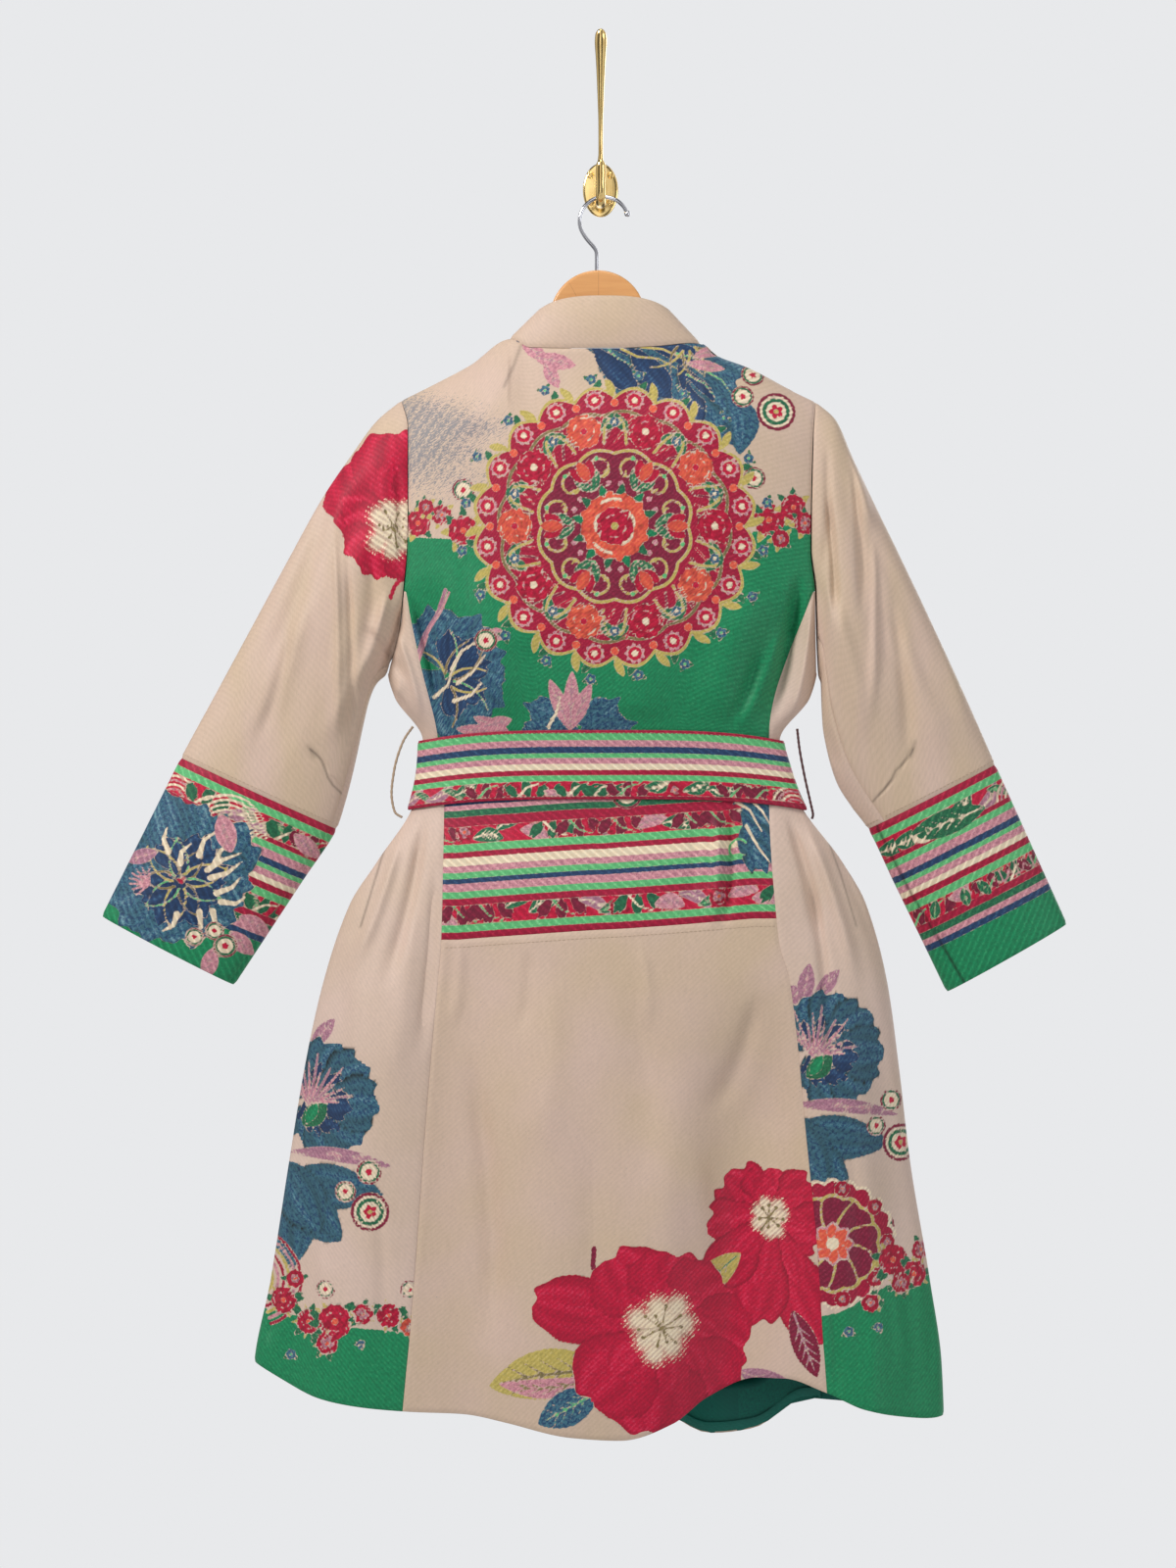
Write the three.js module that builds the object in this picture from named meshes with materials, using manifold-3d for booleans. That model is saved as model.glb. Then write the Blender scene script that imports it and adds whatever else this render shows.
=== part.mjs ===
// A belted knee-length coat on a wooden hanger, hung from a brass wall hook.
// Millimetres, +Z up. The wall is the plane y = 0 and the coat's back faces -Y.
// The origin is the middle of the hook plate's back face.
import * as THREE from "three";
import { mergeVertices } from "three/addons/utils/BufferGeometryUtils.js";
import Module from "manifold-3d";

const wasm = await Module();
wasm.setup();

// Cloth and seams
const clothThickness = 2;
const seamGap = 0.36;
const beltWidth = 61;
const beltLift = 1.1;
const layerGap = 0.8;
const fitGap = 0.3;

// Heights that cut the body into rows
const waistSeam = -521;
const underarm = -440;
const backArmholeEnd = -367;
const hemRow = -1100;
const hemStart = -984;

// Hanger, wire and wall hook
const ridgeY = -34;
const hangerY = -36.5;
const hangerThickness = 11.4;
const wireRadius = 1.75;
const crook = { x: 3, z: -32.6, radius: 22 };
const plate = { halfWidth: 16, halfHeight: 24.4, thickness: 3.2 };
const screw = { radius: 3.2, recess: 3.6, depth: 1.5 };

const rad = Math.PI / 180;
const bodyPower = 2.3;

// Turns rows of numbers into objects with the named columns.
function table(columns, rows) {
  const names = columns.split(" ");
  return rows.map((row) => Object.fromEntries(names.map((name, i) => [name, row[i]])));
}

const clamp = (value, low = 0, high = 1) => Math.min(high, Math.max(low, value));
const mix = (a, b, t) => a + (b - a) * t;
const smooth = (t) => clamp(t) ** 2 * (3 - 2 * clamp(t));
const signedPower = (value, power) => Math.sign(value) * Math.abs(value) ** power;

// The value of a column where another column has the value `at`, with no overshoot between rows.
function along(rows, key, column, at) {
  const last = rows.length - 1;
  const way = Math.sign(rows[last][key] - rows[0][key]);
  let i = 0;
  while (i < last - 1 && way * (at - rows[i + 1][key]) > 0) i += 1;
  const secant = (k) =>
    (rows[k + 1][column] - rows[k][column]) / (rows[k + 1][key] - rows[k][key]);
  const slope = (k) => {
    if (k === 0 || k === last) return secant(k === 0 ? 0 : last - 1);
    const [before, after] = [secant(k - 1), secant(k)];
    return before * after <= 0 ? 0 : (2 * before * after) / (before + after);
  };
  const step = rows[i + 1][key] - rows[i][key];
  const t = clamp((at - rows[i][key]) / step);
  const [t2, t3] = [t * t, t * t * t];
  return (
    rows[i][column] * (2 * t3 - 3 * t2 + 1) +
    rows[i + 1][column] * (3 * t2 - 2 * t3) +
    step * (slope(i) * (t3 - 2 * t2 + t) + slope(i + 1) * (t3 - t2))
  );
}

// The closed section of the coat at each height: its sides, and its back, front and side planes.
const body = table("z left right back front middle", [
  [-100, -200, 214, -56, -6, -34],
  [-150, -200, 213, -64, -5, -34],
  [-230, -199, 210, -84, -5, -38],
  [-320, -197, 205, -91, -7, -46],
  [-390, -194, 200, -91, -8, -48],
  [-440, -191, 194, -87, -9, -48],
  [-461, -185, 188, -84, -11, -48],
  [-500, -160, 161, -75, -16, -46],
  [-521, -161, 166, -74, -16, -46],
  [-556, -168, 179, -77, -15, -47],
  [-607, -200, 216, -86, -11, -49],
  [-646, -225, 238, -91, -9, -50],
  [-717, -249, 257, -96, -7, -51],
  [-790, -265, 267, -99, -7, -52],
  [-875, -279, 277, -102, -7, -53],
  [-984, -296, 295, -107, -7, -55],
  [-1055, -310, 305, -110, -7, -56],
  [-1130, -314, 308, -112, -7, -57],
]);

// The seams between the centre back and the side backs, below the armholes.
const backSeam = table("z left right", [
  [-367, -174, 190],
  [-422, -163, 168],
  [-491, -147, 151],
  [-556, -140, 150.5],
  [-677, -142, 158],
  [-715, -145, 168],
  [-854, -156, 182],
  [-953, -163, 191.5],
  [-1130, -178, 202],
]);

// The armhole edges, down to the underarm point at the side.
const armhole = table("z left right", [
  [-193, -179.5, 193.6],
  [-223, -172.5, 190.5],
  [-288, -172, 188],
  [-330, -173, 187.5],
  [-367, -175.8, 191.8],
  [-405, -181.5, 192.6],
  [-430, -188.5, 193.5],
  [-440, -191, 194],
]);

// Top edge of the back: shoulders outside the neck, and the neck seam between them.
const backTop = table("x z", [
  [-179.5, -193.6],
  [-148, -178],
  [-117, -161.5],
  [-82, -138],
  [-64, -147.5],
  [-27, -149],
  [15, -149],
  [50, -147],
  [90, -142.6],
  [102.5, -152.6],
  [131.8, -164],
  [172.5, -185],
  [193.6, -195],
]);

const frontNeck = table("x z", [
  [-82, -138],
  [-75, -142.5],
  [-62, -166],
  [-40, -196],
  [-20, -211],
  [4, -217],
  [28, -211],
  [50, -196],
  [71, -166],
  [83, -146],
  [90, -142.6],
]);

const neck = { left: -82, right: 90, middle: 4, half: 86, back: 27, front: 21 };
const neckPower = 0.72;

const backHem = table("x z", [
  [-312, -1055],
  [-251, -1082],
  [-176, -1093],
  [-122, -1096],
  [-83, -1103],
  [-24, -1115],
  [18, -1118],
  [64, -1104],
  [95, -1082],
  [140, -1065],
  [163, -1065],
  [200, -1077],
  [235, -1092],
  [297, -1103],
  [310, -1102],
]);

const frontHem = table("x z", [
  [-312, -1055],
  [-176, -1083],
  [0, -1092],
  [60, -1108],
  [98, -1124],
  [136, -1120],
  [190, -1092],
  [310, -1102],
]);

// Soft folds of the back and the fronts: a line, its width, and its height, below 0 for a trough.
const folds = table("face x1 z1 x2 z2 width height", [
  ["back", 178, -365, 130, -488, 46, -9],
  ["back", 138, -360, 108, -486, 40, 5],
  ["back", -168, -352, -118, -486, 44, -6],
  ["back", -128, -330, -96, -486, 36, 4],
  ["back", -60, -400, -44, -486, 34, -3],
  ["back", 40, -410, 34, -486, 34, 3],
  ["back", -120, -560, -104, -1060, 70, -9],
  ["back", -190, -600, -236, -1120, 76, 13],
  ["back", -40, -700, -52, -1130, 90, 8],
  ["back", 40, -780, 60, -1130, 70, 9],
  ["back", 145, -700, 112, -1110, 74, -20],
  ["back", 205, -640, 250, -1130, 80, 13],
  ["back", -250, -650, -280, -1130, 40, -7],
  ["back", 250, -660, 276, -1130, 36, -8],
  ["front", -150, -560, -190, -1120, 90, -16],
  ["front", -90, -600, -96, -1130, 56, -9],
  ["front", 100, -600, 112, -1130, 66, -13],
  ["front", 190, -600, 230, -1130, 80, -16],
  ["front", -130, -260, -90, -470, 60, -7],
  ["front", 130, -260, 100, -470, 60, -7],
]);

function foldHeight(face, x, z) {
  let height = 0;
  for (const fold of folds) {
    if (fold.face !== face) continue;
    const [dx, dz] = [fold.x2 - fold.x1, fold.z2 - fold.z1];
    const t = ((x - fold.x1) * dx + (z - fold.z1) * dz) / (dx * dx + dz * dz);
    const off = Math.hypot(x - fold.x1 - dx * t, z - fold.z1 - dz * t) / fold.width;
    if (off >= 1) continue;
    const ends = smooth(t / 0.35) * (dz < -400 ? 1 : smooth((1 - t) / 0.25));
    height += fold.height * Math.cos((off * Math.PI) / 2) ** 2 * ends;
  }
  return height;
}

function topOf(face, x) {
  const inNeck = x > neck.left && x < neck.right;
  const z = along(face === "front" && inNeck ? frontNeck : backTop, "x", "z", x);
  const reach = Math.max(0, 1 - ((x - neck.middle) / neck.half) ** 2) ** (neckPower / 2);
  const deep = face === "front" ? neck.front : -neck.back;
  return { z, y: ridgeY + (inNeck ? deep * reach : 0), inNeck, reach };
}

// The coat's outside at an angle round its section: 0 is the centre back, -90 the left side.
function bodyPoint(angle, z) {
  const section = (column) => along(body, "z", column, z);
  const [left, right, middle] = [section("left"), section("right"), section("middle")];
  const [sin, cos] = [Math.sin(angle * rad), Math.cos(angle * rad)];
  const face = cos < 0 ? "front" : "back";
  const across = signedPower(sin, 2 / bodyPower);
  const x = (left + right) / 2 + ((right - left) / 2) * across;
  const depth = Math.abs(cos) ** (2 / bodyPower);
  let y = middle + (section(face) - middle) * depth;
  const top = topOf(face, x);
  const fall = top.inNeck ? mix(62, 110, top.reach) : 62;
  const drop = clamp((top.z - z) / fall);
  const round = mix(0.5, 1, top.inNeck ? top.reach : 0);
  y = top.y + (y - top.y) * (1 - (1 - drop) ** 2) ** round;
  const outward = face === "front" ? 1 : -1;
  y += outward * foldHeight(face, x, z) * smooth(depth * 1.6) * smooth(drop * 2);
  return new THREE.Vector3(x, y, z);
}

function bodyNormal(angle, z) {
  const [da, dz] = [0.4, 0.6];
  const round = bodyPoint(angle + da, z).sub(bodyPoint(angle - da, z));
  const up = bodyPoint(angle, z + dz).sub(bodyPoint(angle, z - dz));
  return round.cross(up).normalize();
}

// The angle at which the section has a given x, on the back or the front.
function angleAt(x, z, face = "back") {
  const [left, right] = [along(body, "z", "left", z), along(body, "z", "right", z)];
  const across = clamp((x - (left + right) / 2) / ((right - left) / 2), -1, 1);
  const back = Math.asin(signedPower(across, bodyPower / 2)) / rad;
  if (face === "back") return back;
  return across < 0 ? -180 - back : 180 - back;
}

// Height of the rows. The band's lower seam rises to the right, and the hem has its own curve.
const upperRows = [-194, -201, -222, -255, -295, -334, backArmholeEnd, -405, -430, underarm];
const lowerRows = table("left right", [
  [-461, -461],
  [-480, -480],
  [-500, -500],
  [waistSeam, waistSeam],
  [-552, -552],
  [-587, -587],
  [-622, -618],
  [-677, -658],
  [-717, -710],
  [-772, -770],
  [-828, -828],
  [-882, -882],
  [-932, -932],
  [hemStart, hemStart],
  [-1042, -1042],
  [hemRow, hemRow],
]);
const rowOf = (z) => lowerRows.findIndex((row) => row.left === z);
const waistRow = rowOf(waistSeam);
const bandRow = rowOf(-677);

function lowerZ(row, angle) {
  const tilt = 0.5 + 0.5 * clamp(Math.sin(angle * rad) / 0.5, -1, 1);
  const z = mix(lowerRows[row].left, lowerRows[row].right, tilt);
  if (z >= hemStart) return z;
  const face = Math.cos(angle * rad) < 0 ? frontHem : backHem;
  const x = bodyPoint(angle, z).x;
  const side = smooth(Math.abs(Math.cos(angle * rad)) * 4);
  const hem = mix(along(backHem, "x", "z", x), along(face, "x", "z", x), side);
  return hemStart + ((z - hemStart) * (hem - hemStart)) / (hemRow - hemStart);
}

// A closed wall. Its outside is a grid of points with normals, and its inside lies one
// thickness behind. Open edges are pulled in by half the seam gap.
function wall(columns, rows, at, thickness = clothThickness, isRing = false) {
  const grid = [];
  for (let i = 0; i < columns; i += 1) {
    grid.push([]);
    for (let j = 0; j < rows; j += 1) grid[i].push(at(i, j));
  }
  const pull = (edge, inside) => {
    const way = inside.point.clone().sub(edge.point).normalize();
    return way.multiplyScalar(seamGap / 2);
  };
  const moves = [];
  for (let i = 0; i < columns; i += 1) {
    moves.push([grid[i][0], pull(grid[i][0], grid[i][1])]);
    moves.push([grid[i][rows - 1], pull(grid[i][rows - 1], grid[i][rows - 2])]);
  }
  for (let j = 0; j < rows && !isRing; j += 1) {
    moves.push([grid[0][j], pull(grid[0][j], grid[1][j])]);
    moves.push([grid[columns - 1][j], pull(grid[columns - 1][j], grid[columns - 2][j])]);
  }
  for (const [place, move] of moves) place.point.add(move);

  const positions = [];
  for (const side of [0, thickness]) {
    for (const place of grid.flat()) {
      positions.push(...place.point.clone().addScaledVector(place.normal, -side));
    }
  }
  const inner = columns * rows;
  const index = [];
  const quad = (a, b, c, d) => index.push(a, b, c, a, c, d);
  const number = (i, j) => (i % columns) * rows + j;
  const steps = isRing ? columns : columns - 1;
  for (let i = 0; i < steps; i += 1) {
    for (let j = 0; j < rows - 1; j += 1) {
      const corners = [number(i, j), number(i + 1, j), number(i + 1, j + 1), number(i, j + 1)];
      quad(...corners);
      quad(...corners.map((corner) => corner + inner).reverse());
    }
    const [a, b] = [number(i, 0), number(i + 1, 0)];
    quad(a, a + inner, b + inner, b);
    const [c, d] = [number(i, rows - 1), number(i + 1, rows - 1)];
    quad(c, d, d + inner, c + inner);
  }
  for (let j = 0; j < rows - 1 && !isRing; j += 1) {
    const [a, b] = [number(0, j), number(0, j + 1)];
    quad(a, b, b + inner, a + inner);
    const [c, d] = [number(columns - 1, j), number(columns - 1, j + 1)];
    quad(c, c + inner, d + inner, d);
  }
  return outward(positions, index);
}

// A solid geometry, with its faces turned outward.
function outward(positions, index) {
  const at = (k) => new THREE.Vector3().fromArray(positions, 3 * k);
  let volume = 0;
  for (let k = 0; k < index.length; k += 3) {
    volume += at(index[k]).dot(at(index[k + 1]).cross(at(index[k + 2])));
  }
  if (volume < 0) index.reverse();
  const geometry = new THREE.BufferGeometry();
  geometry.setAttribute("position", new THREE.Float32BufferAttribute(positions, 3));
  geometry.setIndex(index);
  return geometry;
}

// Elliptic rings along a path in the plane x = 0, closed at both ends.
function loft(stations, sides) {
  const positions = [];
  const index = [];
  const last = stations.length - 1;
  stations.forEach((station, k) => {
    const [before, after] = [stations[Math.max(0, k - 1)], stations[Math.min(last, k + 1)]];
    const way = new THREE.Vector2(after.y - before.y, after.z - before.z).normalize();
    for (let i = 0; i < sides; i += 1) {
      const turn = ((2 * Math.PI) / sides) * i;
      const rise = Math.sin(turn) * station.deep;
      positions.push(Math.cos(turn) * station.wide);
      positions.push(station.y - way.y * rise, station.z + way.x * rise);
    }
  });
  for (let k = 0; k < last; k += 1) {
    for (let i = 0; i < sides; i += 1) {
      const [a, b] = [k * sides + i, k * sides + ((i + 1) % sides)];
      index.push(a, b, b + sides, a, b + sides, a + sides);
    }
  }
  for (let i = 1; i < sides - 1; i += 1) {
    index.push(0, i + 1, i);
    index.push(last * sides, last * sides + i, last * sides + i + 1);
  }
  return outward(positions, index);
}

function toManifold(geometry) {
  const plain = geometry.clone();
  plain.deleteAttribute("normal");
  plain.deleteAttribute("uv");
  const merged = mergeVertices(plain, 1e-4);
  const vertProperties = new Float32Array(merged.attributes.position.array);
  const triVerts = new Uint32Array(merged.index.array);
  return new wasm.Manifold(new wasm.Mesh({ numProp: 3, vertProperties, triVerts }));
}

function fromManifold(solid) {
  const mesh = solid.getMesh();
  const geometry = new THREE.BufferGeometry();
  const positions = new THREE.Float32BufferAttribute(mesh.vertProperties, 3);
  geometry.setAttribute("position", positions);
  geometry.setIndex([...mesh.triVerts]);
  return geometry;
}

const coat = new THREE.Group();
coat.name = "belted_coat";

const looks = {
  beige: { color: 0xcbb8a0, roughness: 0.62, metalness: 0 },
  pale: { color: 0xd6c1b2, roughness: 0.62, metalness: 0 },
  green: { color: 0x1e8c55, roughness: 0.6, metalness: 0 },
  stripe: { color: 0xb0123a, roughness: 0.62, metalness: 0 },
  teal: { color: 0x007864, roughness: 0.5, metalness: 0 },
  thread: { color: 0xb9a58c, roughness: 0.8, metalness: 0 },
  wood: { color: 0xdea05f, roughness: 0.42, metalness: 0 },
  chrome: { color: 0xc8c9cc, roughness: 0.12, metalness: 1 },
  brass: { color: 0xc9a04a, roughness: 0.14, metalness: 1 },
};

function add(name, look, geometry) {
  const mesh = new THREE.Mesh(geometry, new THREE.MeshStandardMaterial(looks[look]));
  mesh.name = name;
  coat.add(mesh);
}

const sides = ["left", "right"];
const sign = { left: -1, right: 1 };

// A body panel between two edges, each an angle for a height. Rows above the underarm reach up
// to the panel's own top edge, and `shares` spreads the columns between the edges.
function bodyPlace(angle, row, isUpper) {
  let z = isUpper ? upperRows[row] : lowerZ(row, angle);
  let normal;
  if (isUpper && z > backArmholeEnd) {
    const face = Math.cos(angle * rad) < 0 ? "front" : "back";
    const x = bodyPoint(angle, z).x;
    const top = topOf(face, x);
    const share = (z - backArmholeEnd) / (upperRows[0] - backArmholeEnd);
    z = mix(backArmholeEnd, top.z, share);
    normal = bodyNormal(angle, Math.min(z, top.z - 0.7));
    if (row === 0 && top.reach < 0.1) normal.setY(0).normalize();
  }
  return { point: bodyPoint(angle, z), normal: normal ?? bodyNormal(angle, z) };
}

function panel(edges, shares, upper, lower) {
  const steps = [
    ...upper.map((row) => ({ row, isUpper: true, z: upperRows[row] })),
    ...lower.map((row) => ({ row, isUpper: false })),
  ];
  return wall(shares.length, steps.length, (i, j) => {
    const { row, isUpper } = steps[j];
    const edge = (side, guess) => {
      const z = isUpper ? upperRows[row] : lowerZ(row, guess);
      return edges[side](z);
    };
    const [a, b] = [edge(0, edges[0](-700)), edge(1, edges[1](-700))];
    return bodyPlace(mix(a, b, shares[i]), row, isUpper);
  });
}

const range = (from, to) => Array.from({ length: to - from + 1 }, (_, k) => from + k);
const evenly = (count) => range(0, count - 1).map((k) => k / (count - 1));
const seamAngle = (side) => (z) =>
  angleAt(along(z > backArmholeEnd ? armhole : backSeam, "z", side, z), z);

// Shares of the columns that meet given places on a panel's top edge.
function topShares(edges, places, face) {
  const z = upperRows[0];
  const [a, b] = edges.map((edge) => edge(z));
  return places.map((x) => clamp((angleAt(x, z, face) - a) / (b - a)));
}

const backEdges = [seamAngle("left"), seamAngle("right")];
const neckColumns = [-82, -64, -40, -12, 18, 50, 72, 90];
const backColumns = [-179.5, -148, -117, ...neckColumns, 112, 152, 193.6];
const lastUpper = upperRows.length - 1;
const backShares = topShares(backEdges, backColumns, "back");
add("back_bodice", "green", panel(backEdges, backShares, range(0, lastUpper), range(0, waistRow)));
add("back_band", "stripe", panel(backEdges, evenly(13), [], range(waistRow, bandRow)));
add("back_skirt", "beige", panel(backEdges, evenly(17), [], range(bandRow, lowerRows.length - 1)));

// A side back runs from the back seam to the side seam, and up to a point under the arm.
const sideAngle = (side) => (z) => {
  if (z <= underarm) return 90 * sign[side];
  return angleAt(along(armhole, "z", side, z), z);
};
const pointRows = range(upperRows.indexOf(backArmholeEnd), lastUpper);
for (const side of sides) {
  const edges = [seamAngle(side), sideAngle(side)];
  const geometry = panel(edges, evenly(6), pointRows, range(0, lowerRows.length - 1));
  add(`side_back_${side}`, "pale", geometry);
}

// The fronts, which the photograph hides: plain, from the side seams to an overlap in the middle.
const overlapHalf = 24;
const frontColumns = {
  left: [-179.5, -148, -117, -82, -75, -62, -40, -20, 4, neck.middle + overlapHalf],
  right: [193.6, 152, 112, 90, 83, 71, 50, 28, 4, neck.middle - overlapHalf],
};
function frontAngle(x, z, side) {
  const angle = angleAt(x, z, "front");
  return angle * sign[side] < 0 ? angle + 360 * sign[side] : angle;
}
for (const side of sides) {
  const columns = frontColumns[side];
  const outer = (z) => {
    if (z <= underarm) return 90 * sign[side];
    return frontAngle(along(armhole, "z", side, z), z, side);
  };
  const inner = (z) => frontAngle(columns[columns.length - 1], z, side);
  const [a, b] = [outer, inner].map((edge) => edge(upperRows[0]));
  const shares = columns.map((x) => clamp((frontAngle(x, upperRows[0], side) - a) / (b - a)));
  const geometry = panel([outer, inner], shares, range(0, lastUpper), range(0, lowerRows.length - 1));
  // The right front lies under the left one, so its edge is set back into the coat.
  if (side === "right") {
    const positions = geometry.attributes.position;
    for (let k = 0; k < positions.count; k += 1) {
      const near = smooth((neck.middle + overlapHalf + 20 - positions.getX(k)) / 22);
      positions.setY(k, positions.getY(k) - near * (clothThickness + 2 * layerGap));
    }
  }
  add(`front_${side}`, "beige", geometry);
}

// The stand collar: a band on the neck seam that leans in and is open at the centre front.
const collarTop = { left: -53, right: 59, back: 22, front: 15, zBack: -101, zSide: -109.5, zFront: -181 };
function collarPlace(turn, rise) {
  const [sin, cos] = [Math.sin(turn * rad), Math.cos(turn * rad)];
  const face = cos < 0 ? "front" : "back";
  const base = { x: neck.middle + neck.half * sin };
  const edge = topOf(face, clamp(base.x, neck.left + 0.01, neck.right - 0.01));
  const deep = Math.abs(cos) ** neckPower;
  base.y = ridgeY + (face === "front" ? neck.front : -neck.back) * deep;
  const sideways = Math.abs(sin) ** 3;
  const top = {
    x: (collarTop.left + collarTop.right) / 2 + ((collarTop.right - collarTop.left) / 2) * sin,
    y: ridgeY + (face === "front" ? collarTop.front : -collarTop.back) * deep,
    z: mix(face === "front" ? collarTop.zFront : collarTop.zBack, collarTop.zSide, sideways),
  };
  return new THREE.Vector3(
    mix(base.x, top.x, rise),
    mix(base.y, top.y, rise) - 3 * Math.sin(rise * Math.PI) * Math.max(0, cos),
    mix(edge.z + seamGap / 2, top.z, rise),
  );
}
function collarNormal(turn, rise) {
  const round = collarPlace(turn + 1, rise).sub(collarPlace(turn - 1, rise));
  const up = collarPlace(turn, rise + 0.02).sub(collarPlace(turn, rise - 0.02));
  return round.cross(up).normalize();
}
const turnAt = (x) => Math.asin(clamp((x - neck.middle) / neck.half, -1, 1)) / rad;
const backTurns = neckColumns.map(turnAt);
const leftTurns = [-20, -40, -62, -75].map((x) => -180 - turnAt(x));
const rightTurns = [83, 71, 50, 28].map((x) => 180 - turnAt(x));
const collarTurns = [-179.6, ...leftTurns, ...backTurns, ...rightTurns, 179.6];
const collarRises = [0, 0.33, 0.67, 1];
add("collar", "beige", wall(collarTurns.length, collarRises.length, (i, j) => ({
  point: collarPlace(collarTurns[i], collarRises[j]),
  normal: collarNormal(collarTurns[i], collarRises[j]),
})));

// Sleeve rings from the armhole to the cuff's edge: outer and inner point, half depth and
// middle plane, and how much of the armhole's own shape is left.
const sleeve = {
  left: table("outerX outerZ innerX innerZ depth y armholeShare", [
    [-179.5, -193.6, -191, -440, 30, -44, 1],
    [-201, -212, -201, -449, 32, -45, 0.72],
    [-225, -245, -207, -462, 33, -46, 0.4],
    [-249, -281, -212.5, -484, 33, -47, 0.16],
    [-281, -339, -218, -510, 31, -47, 0],
    [-313, -398, -224, -536, 29, -46, 0],
    [-345, -457, -230, -558, 27, -45, 0],
    [-376.6, -515, -237, -579, 26, -44, 0],
    [-400.4, -562.3, -267.6, -625.7, 25, -43, 0],
    [-424.2, -609.7, -298.3, -672.3, 24, -42, 0],
    [-448, -657, -329, -719, 23, -41, 0],
  ]),
  right: table("outerX outerZ innerX innerZ depth y armholeShare", [
    [193.6, -195, 194, -440, 30, -44, 1],
    [211, -211, 197.5, -450, 32, -45, 0.72],
    [226, -245, 198, -466, 33, -46, 0.4],
    [243, -282, 199, -486, 33, -47, 0.16],
    [271, -340, 204, -513, 31, -47, 0],
    [299, -399, 212, -538, 29, -46, 0],
    [327, -460, 225, -559, 27, -45, 0],
    [354, -521, 240, -579, 26, -44, 0],
    [375.6, -568.7, 263.5, -627.7, 25, -43, 0],
    [397, -616, 287, -676, 24, -42, 0],
    [418.7, -664, 310.6, -725, 23, -41, 0],
  ]),
};
const ringSides = 18;
const cuffRing = 7;
const sleeveFolds = table("side turn ring spread length height", [
  ["left", 60, 2.2, 24, 1.6, -4],
  ["left", 112, 3.4, 22, 1.5, 3.5],
  ["left", 80, 5.4, 26, 1.8, -3],
  ["right", 112, 2.6, 22, 1.8, 4],
  ["right", 66, 4.2, 26, 2, -3.5],
  ["right", 90, 6, 24, 1.4, -2.5],
]);

function armholePoint(side, step) {
  const round = (step + ringSides) % ringSides;
  const face = round <= ringSides / 2 ? "back" : "front";
  const row = Math.min(round, ringSides - round);
  const z = upperRows[row];
  const x = along(armhole, "z", side, z);
  return bodyPlace(z <= underarm ? 90 * sign[side] : angleAt(x, z, face), row, true);
}

function sleevePoint(side, ring, step) {
  const rows = sleeve[side];
  const station = rows[clamp(ring, 0, rows.length - 1)];
  const turn = ((2 * Math.PI) / ringSides) * step;
  const oval = (row) => {
    const [midX, midZ] = [(row.outerX + row.innerX) / 2, (row.outerZ + row.innerZ) / 2];
    const reach = Math.cos(turn);
    return new THREE.Vector3(
      midX + (row.outerX - midX) * reach,
      row.y - row.depth * signedPower(Math.sin(turn), 0.9),
      midZ + (row.outerZ - midZ) * reach,
    );
  };
  const point = oval(station);
  const own = armholePoint(side, step).point.sub(oval(rows[0]));
  point.addScaledVector(own, station.armholeShare);
  for (const fold of sleeveFolds) {
    if (fold.side !== side) continue;
    const off = Math.hypot((turn / rad - fold.turn) / fold.spread, (ring - fold.ring) / fold.length);
    if (off < 1) point.y -= fold.height * Math.cos((off * Math.PI) / 2) ** 2;
  }
  return point;
}

function sleevePlace(side, ring, step) {
  const point = sleevePoint(side, ring, step);
  const last = sleeve[side].length - 1;
  const round = sleevePoint(side, ring, step + 1).sub(sleevePoint(side, ring, step - 1));
  const down = sleevePoint(side, Math.min(last, ring + 1), step);
  down.sub(sleevePoint(side, Math.max(0, ring - 1), step));
  const normal = round.cross(down).normalize().multiplyScalar(sign[side]);
  if (normal.dot(point.clone().sub(ringMiddle(side, ring))) < 0) normal.negate();
  if (ring > 0) return { point, normal };
  const edge = armholePoint(side, step);
  const leaving = sleevePoint(side, 1, step).sub(point);
  point.x += sign[side] * seamGap;
  return { point, normal: leaving.dot(edge.normal) < 0 ? edge.normal : normal };
}

function ringMiddle(side, ring) {
  const row = sleeve[side][ring];
  return new THREE.Vector3((row.outerX + row.innerX) / 2, row.y, (row.outerZ + row.innerZ) / 2);
}

// The back seam of a sleeve lies just inside its inner edge, and the front seam opposite.
const sleeveSeams = { left: { back: 8, front: 12 }, right: { back: 7, front: 12 } };
for (const side of sides) {
  const { back, front } = sleeveSeams[side];
  const pieces = { top: range(front - ringSides, back), under: range(back, front) };
  for (const [piece, steps] of Object.entries(pieces)) {
    const place = (rings) => (i, j) => sleevePlace(side, rings[j], (steps[i] + ringSides) % ringSides);
    const arm = range(0, cuffRing);
    const cuff = range(cuffRing, sleeve[side].length - 1);
    add(`sleeve_${side}_${piece}`, "beige", wall(steps.length, arm.length, place(arm)));
    add(`cuff_${side}_${piece}`, "stripe", wall(steps.length, cuff.length, place(cuff)));
  }
}

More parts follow.
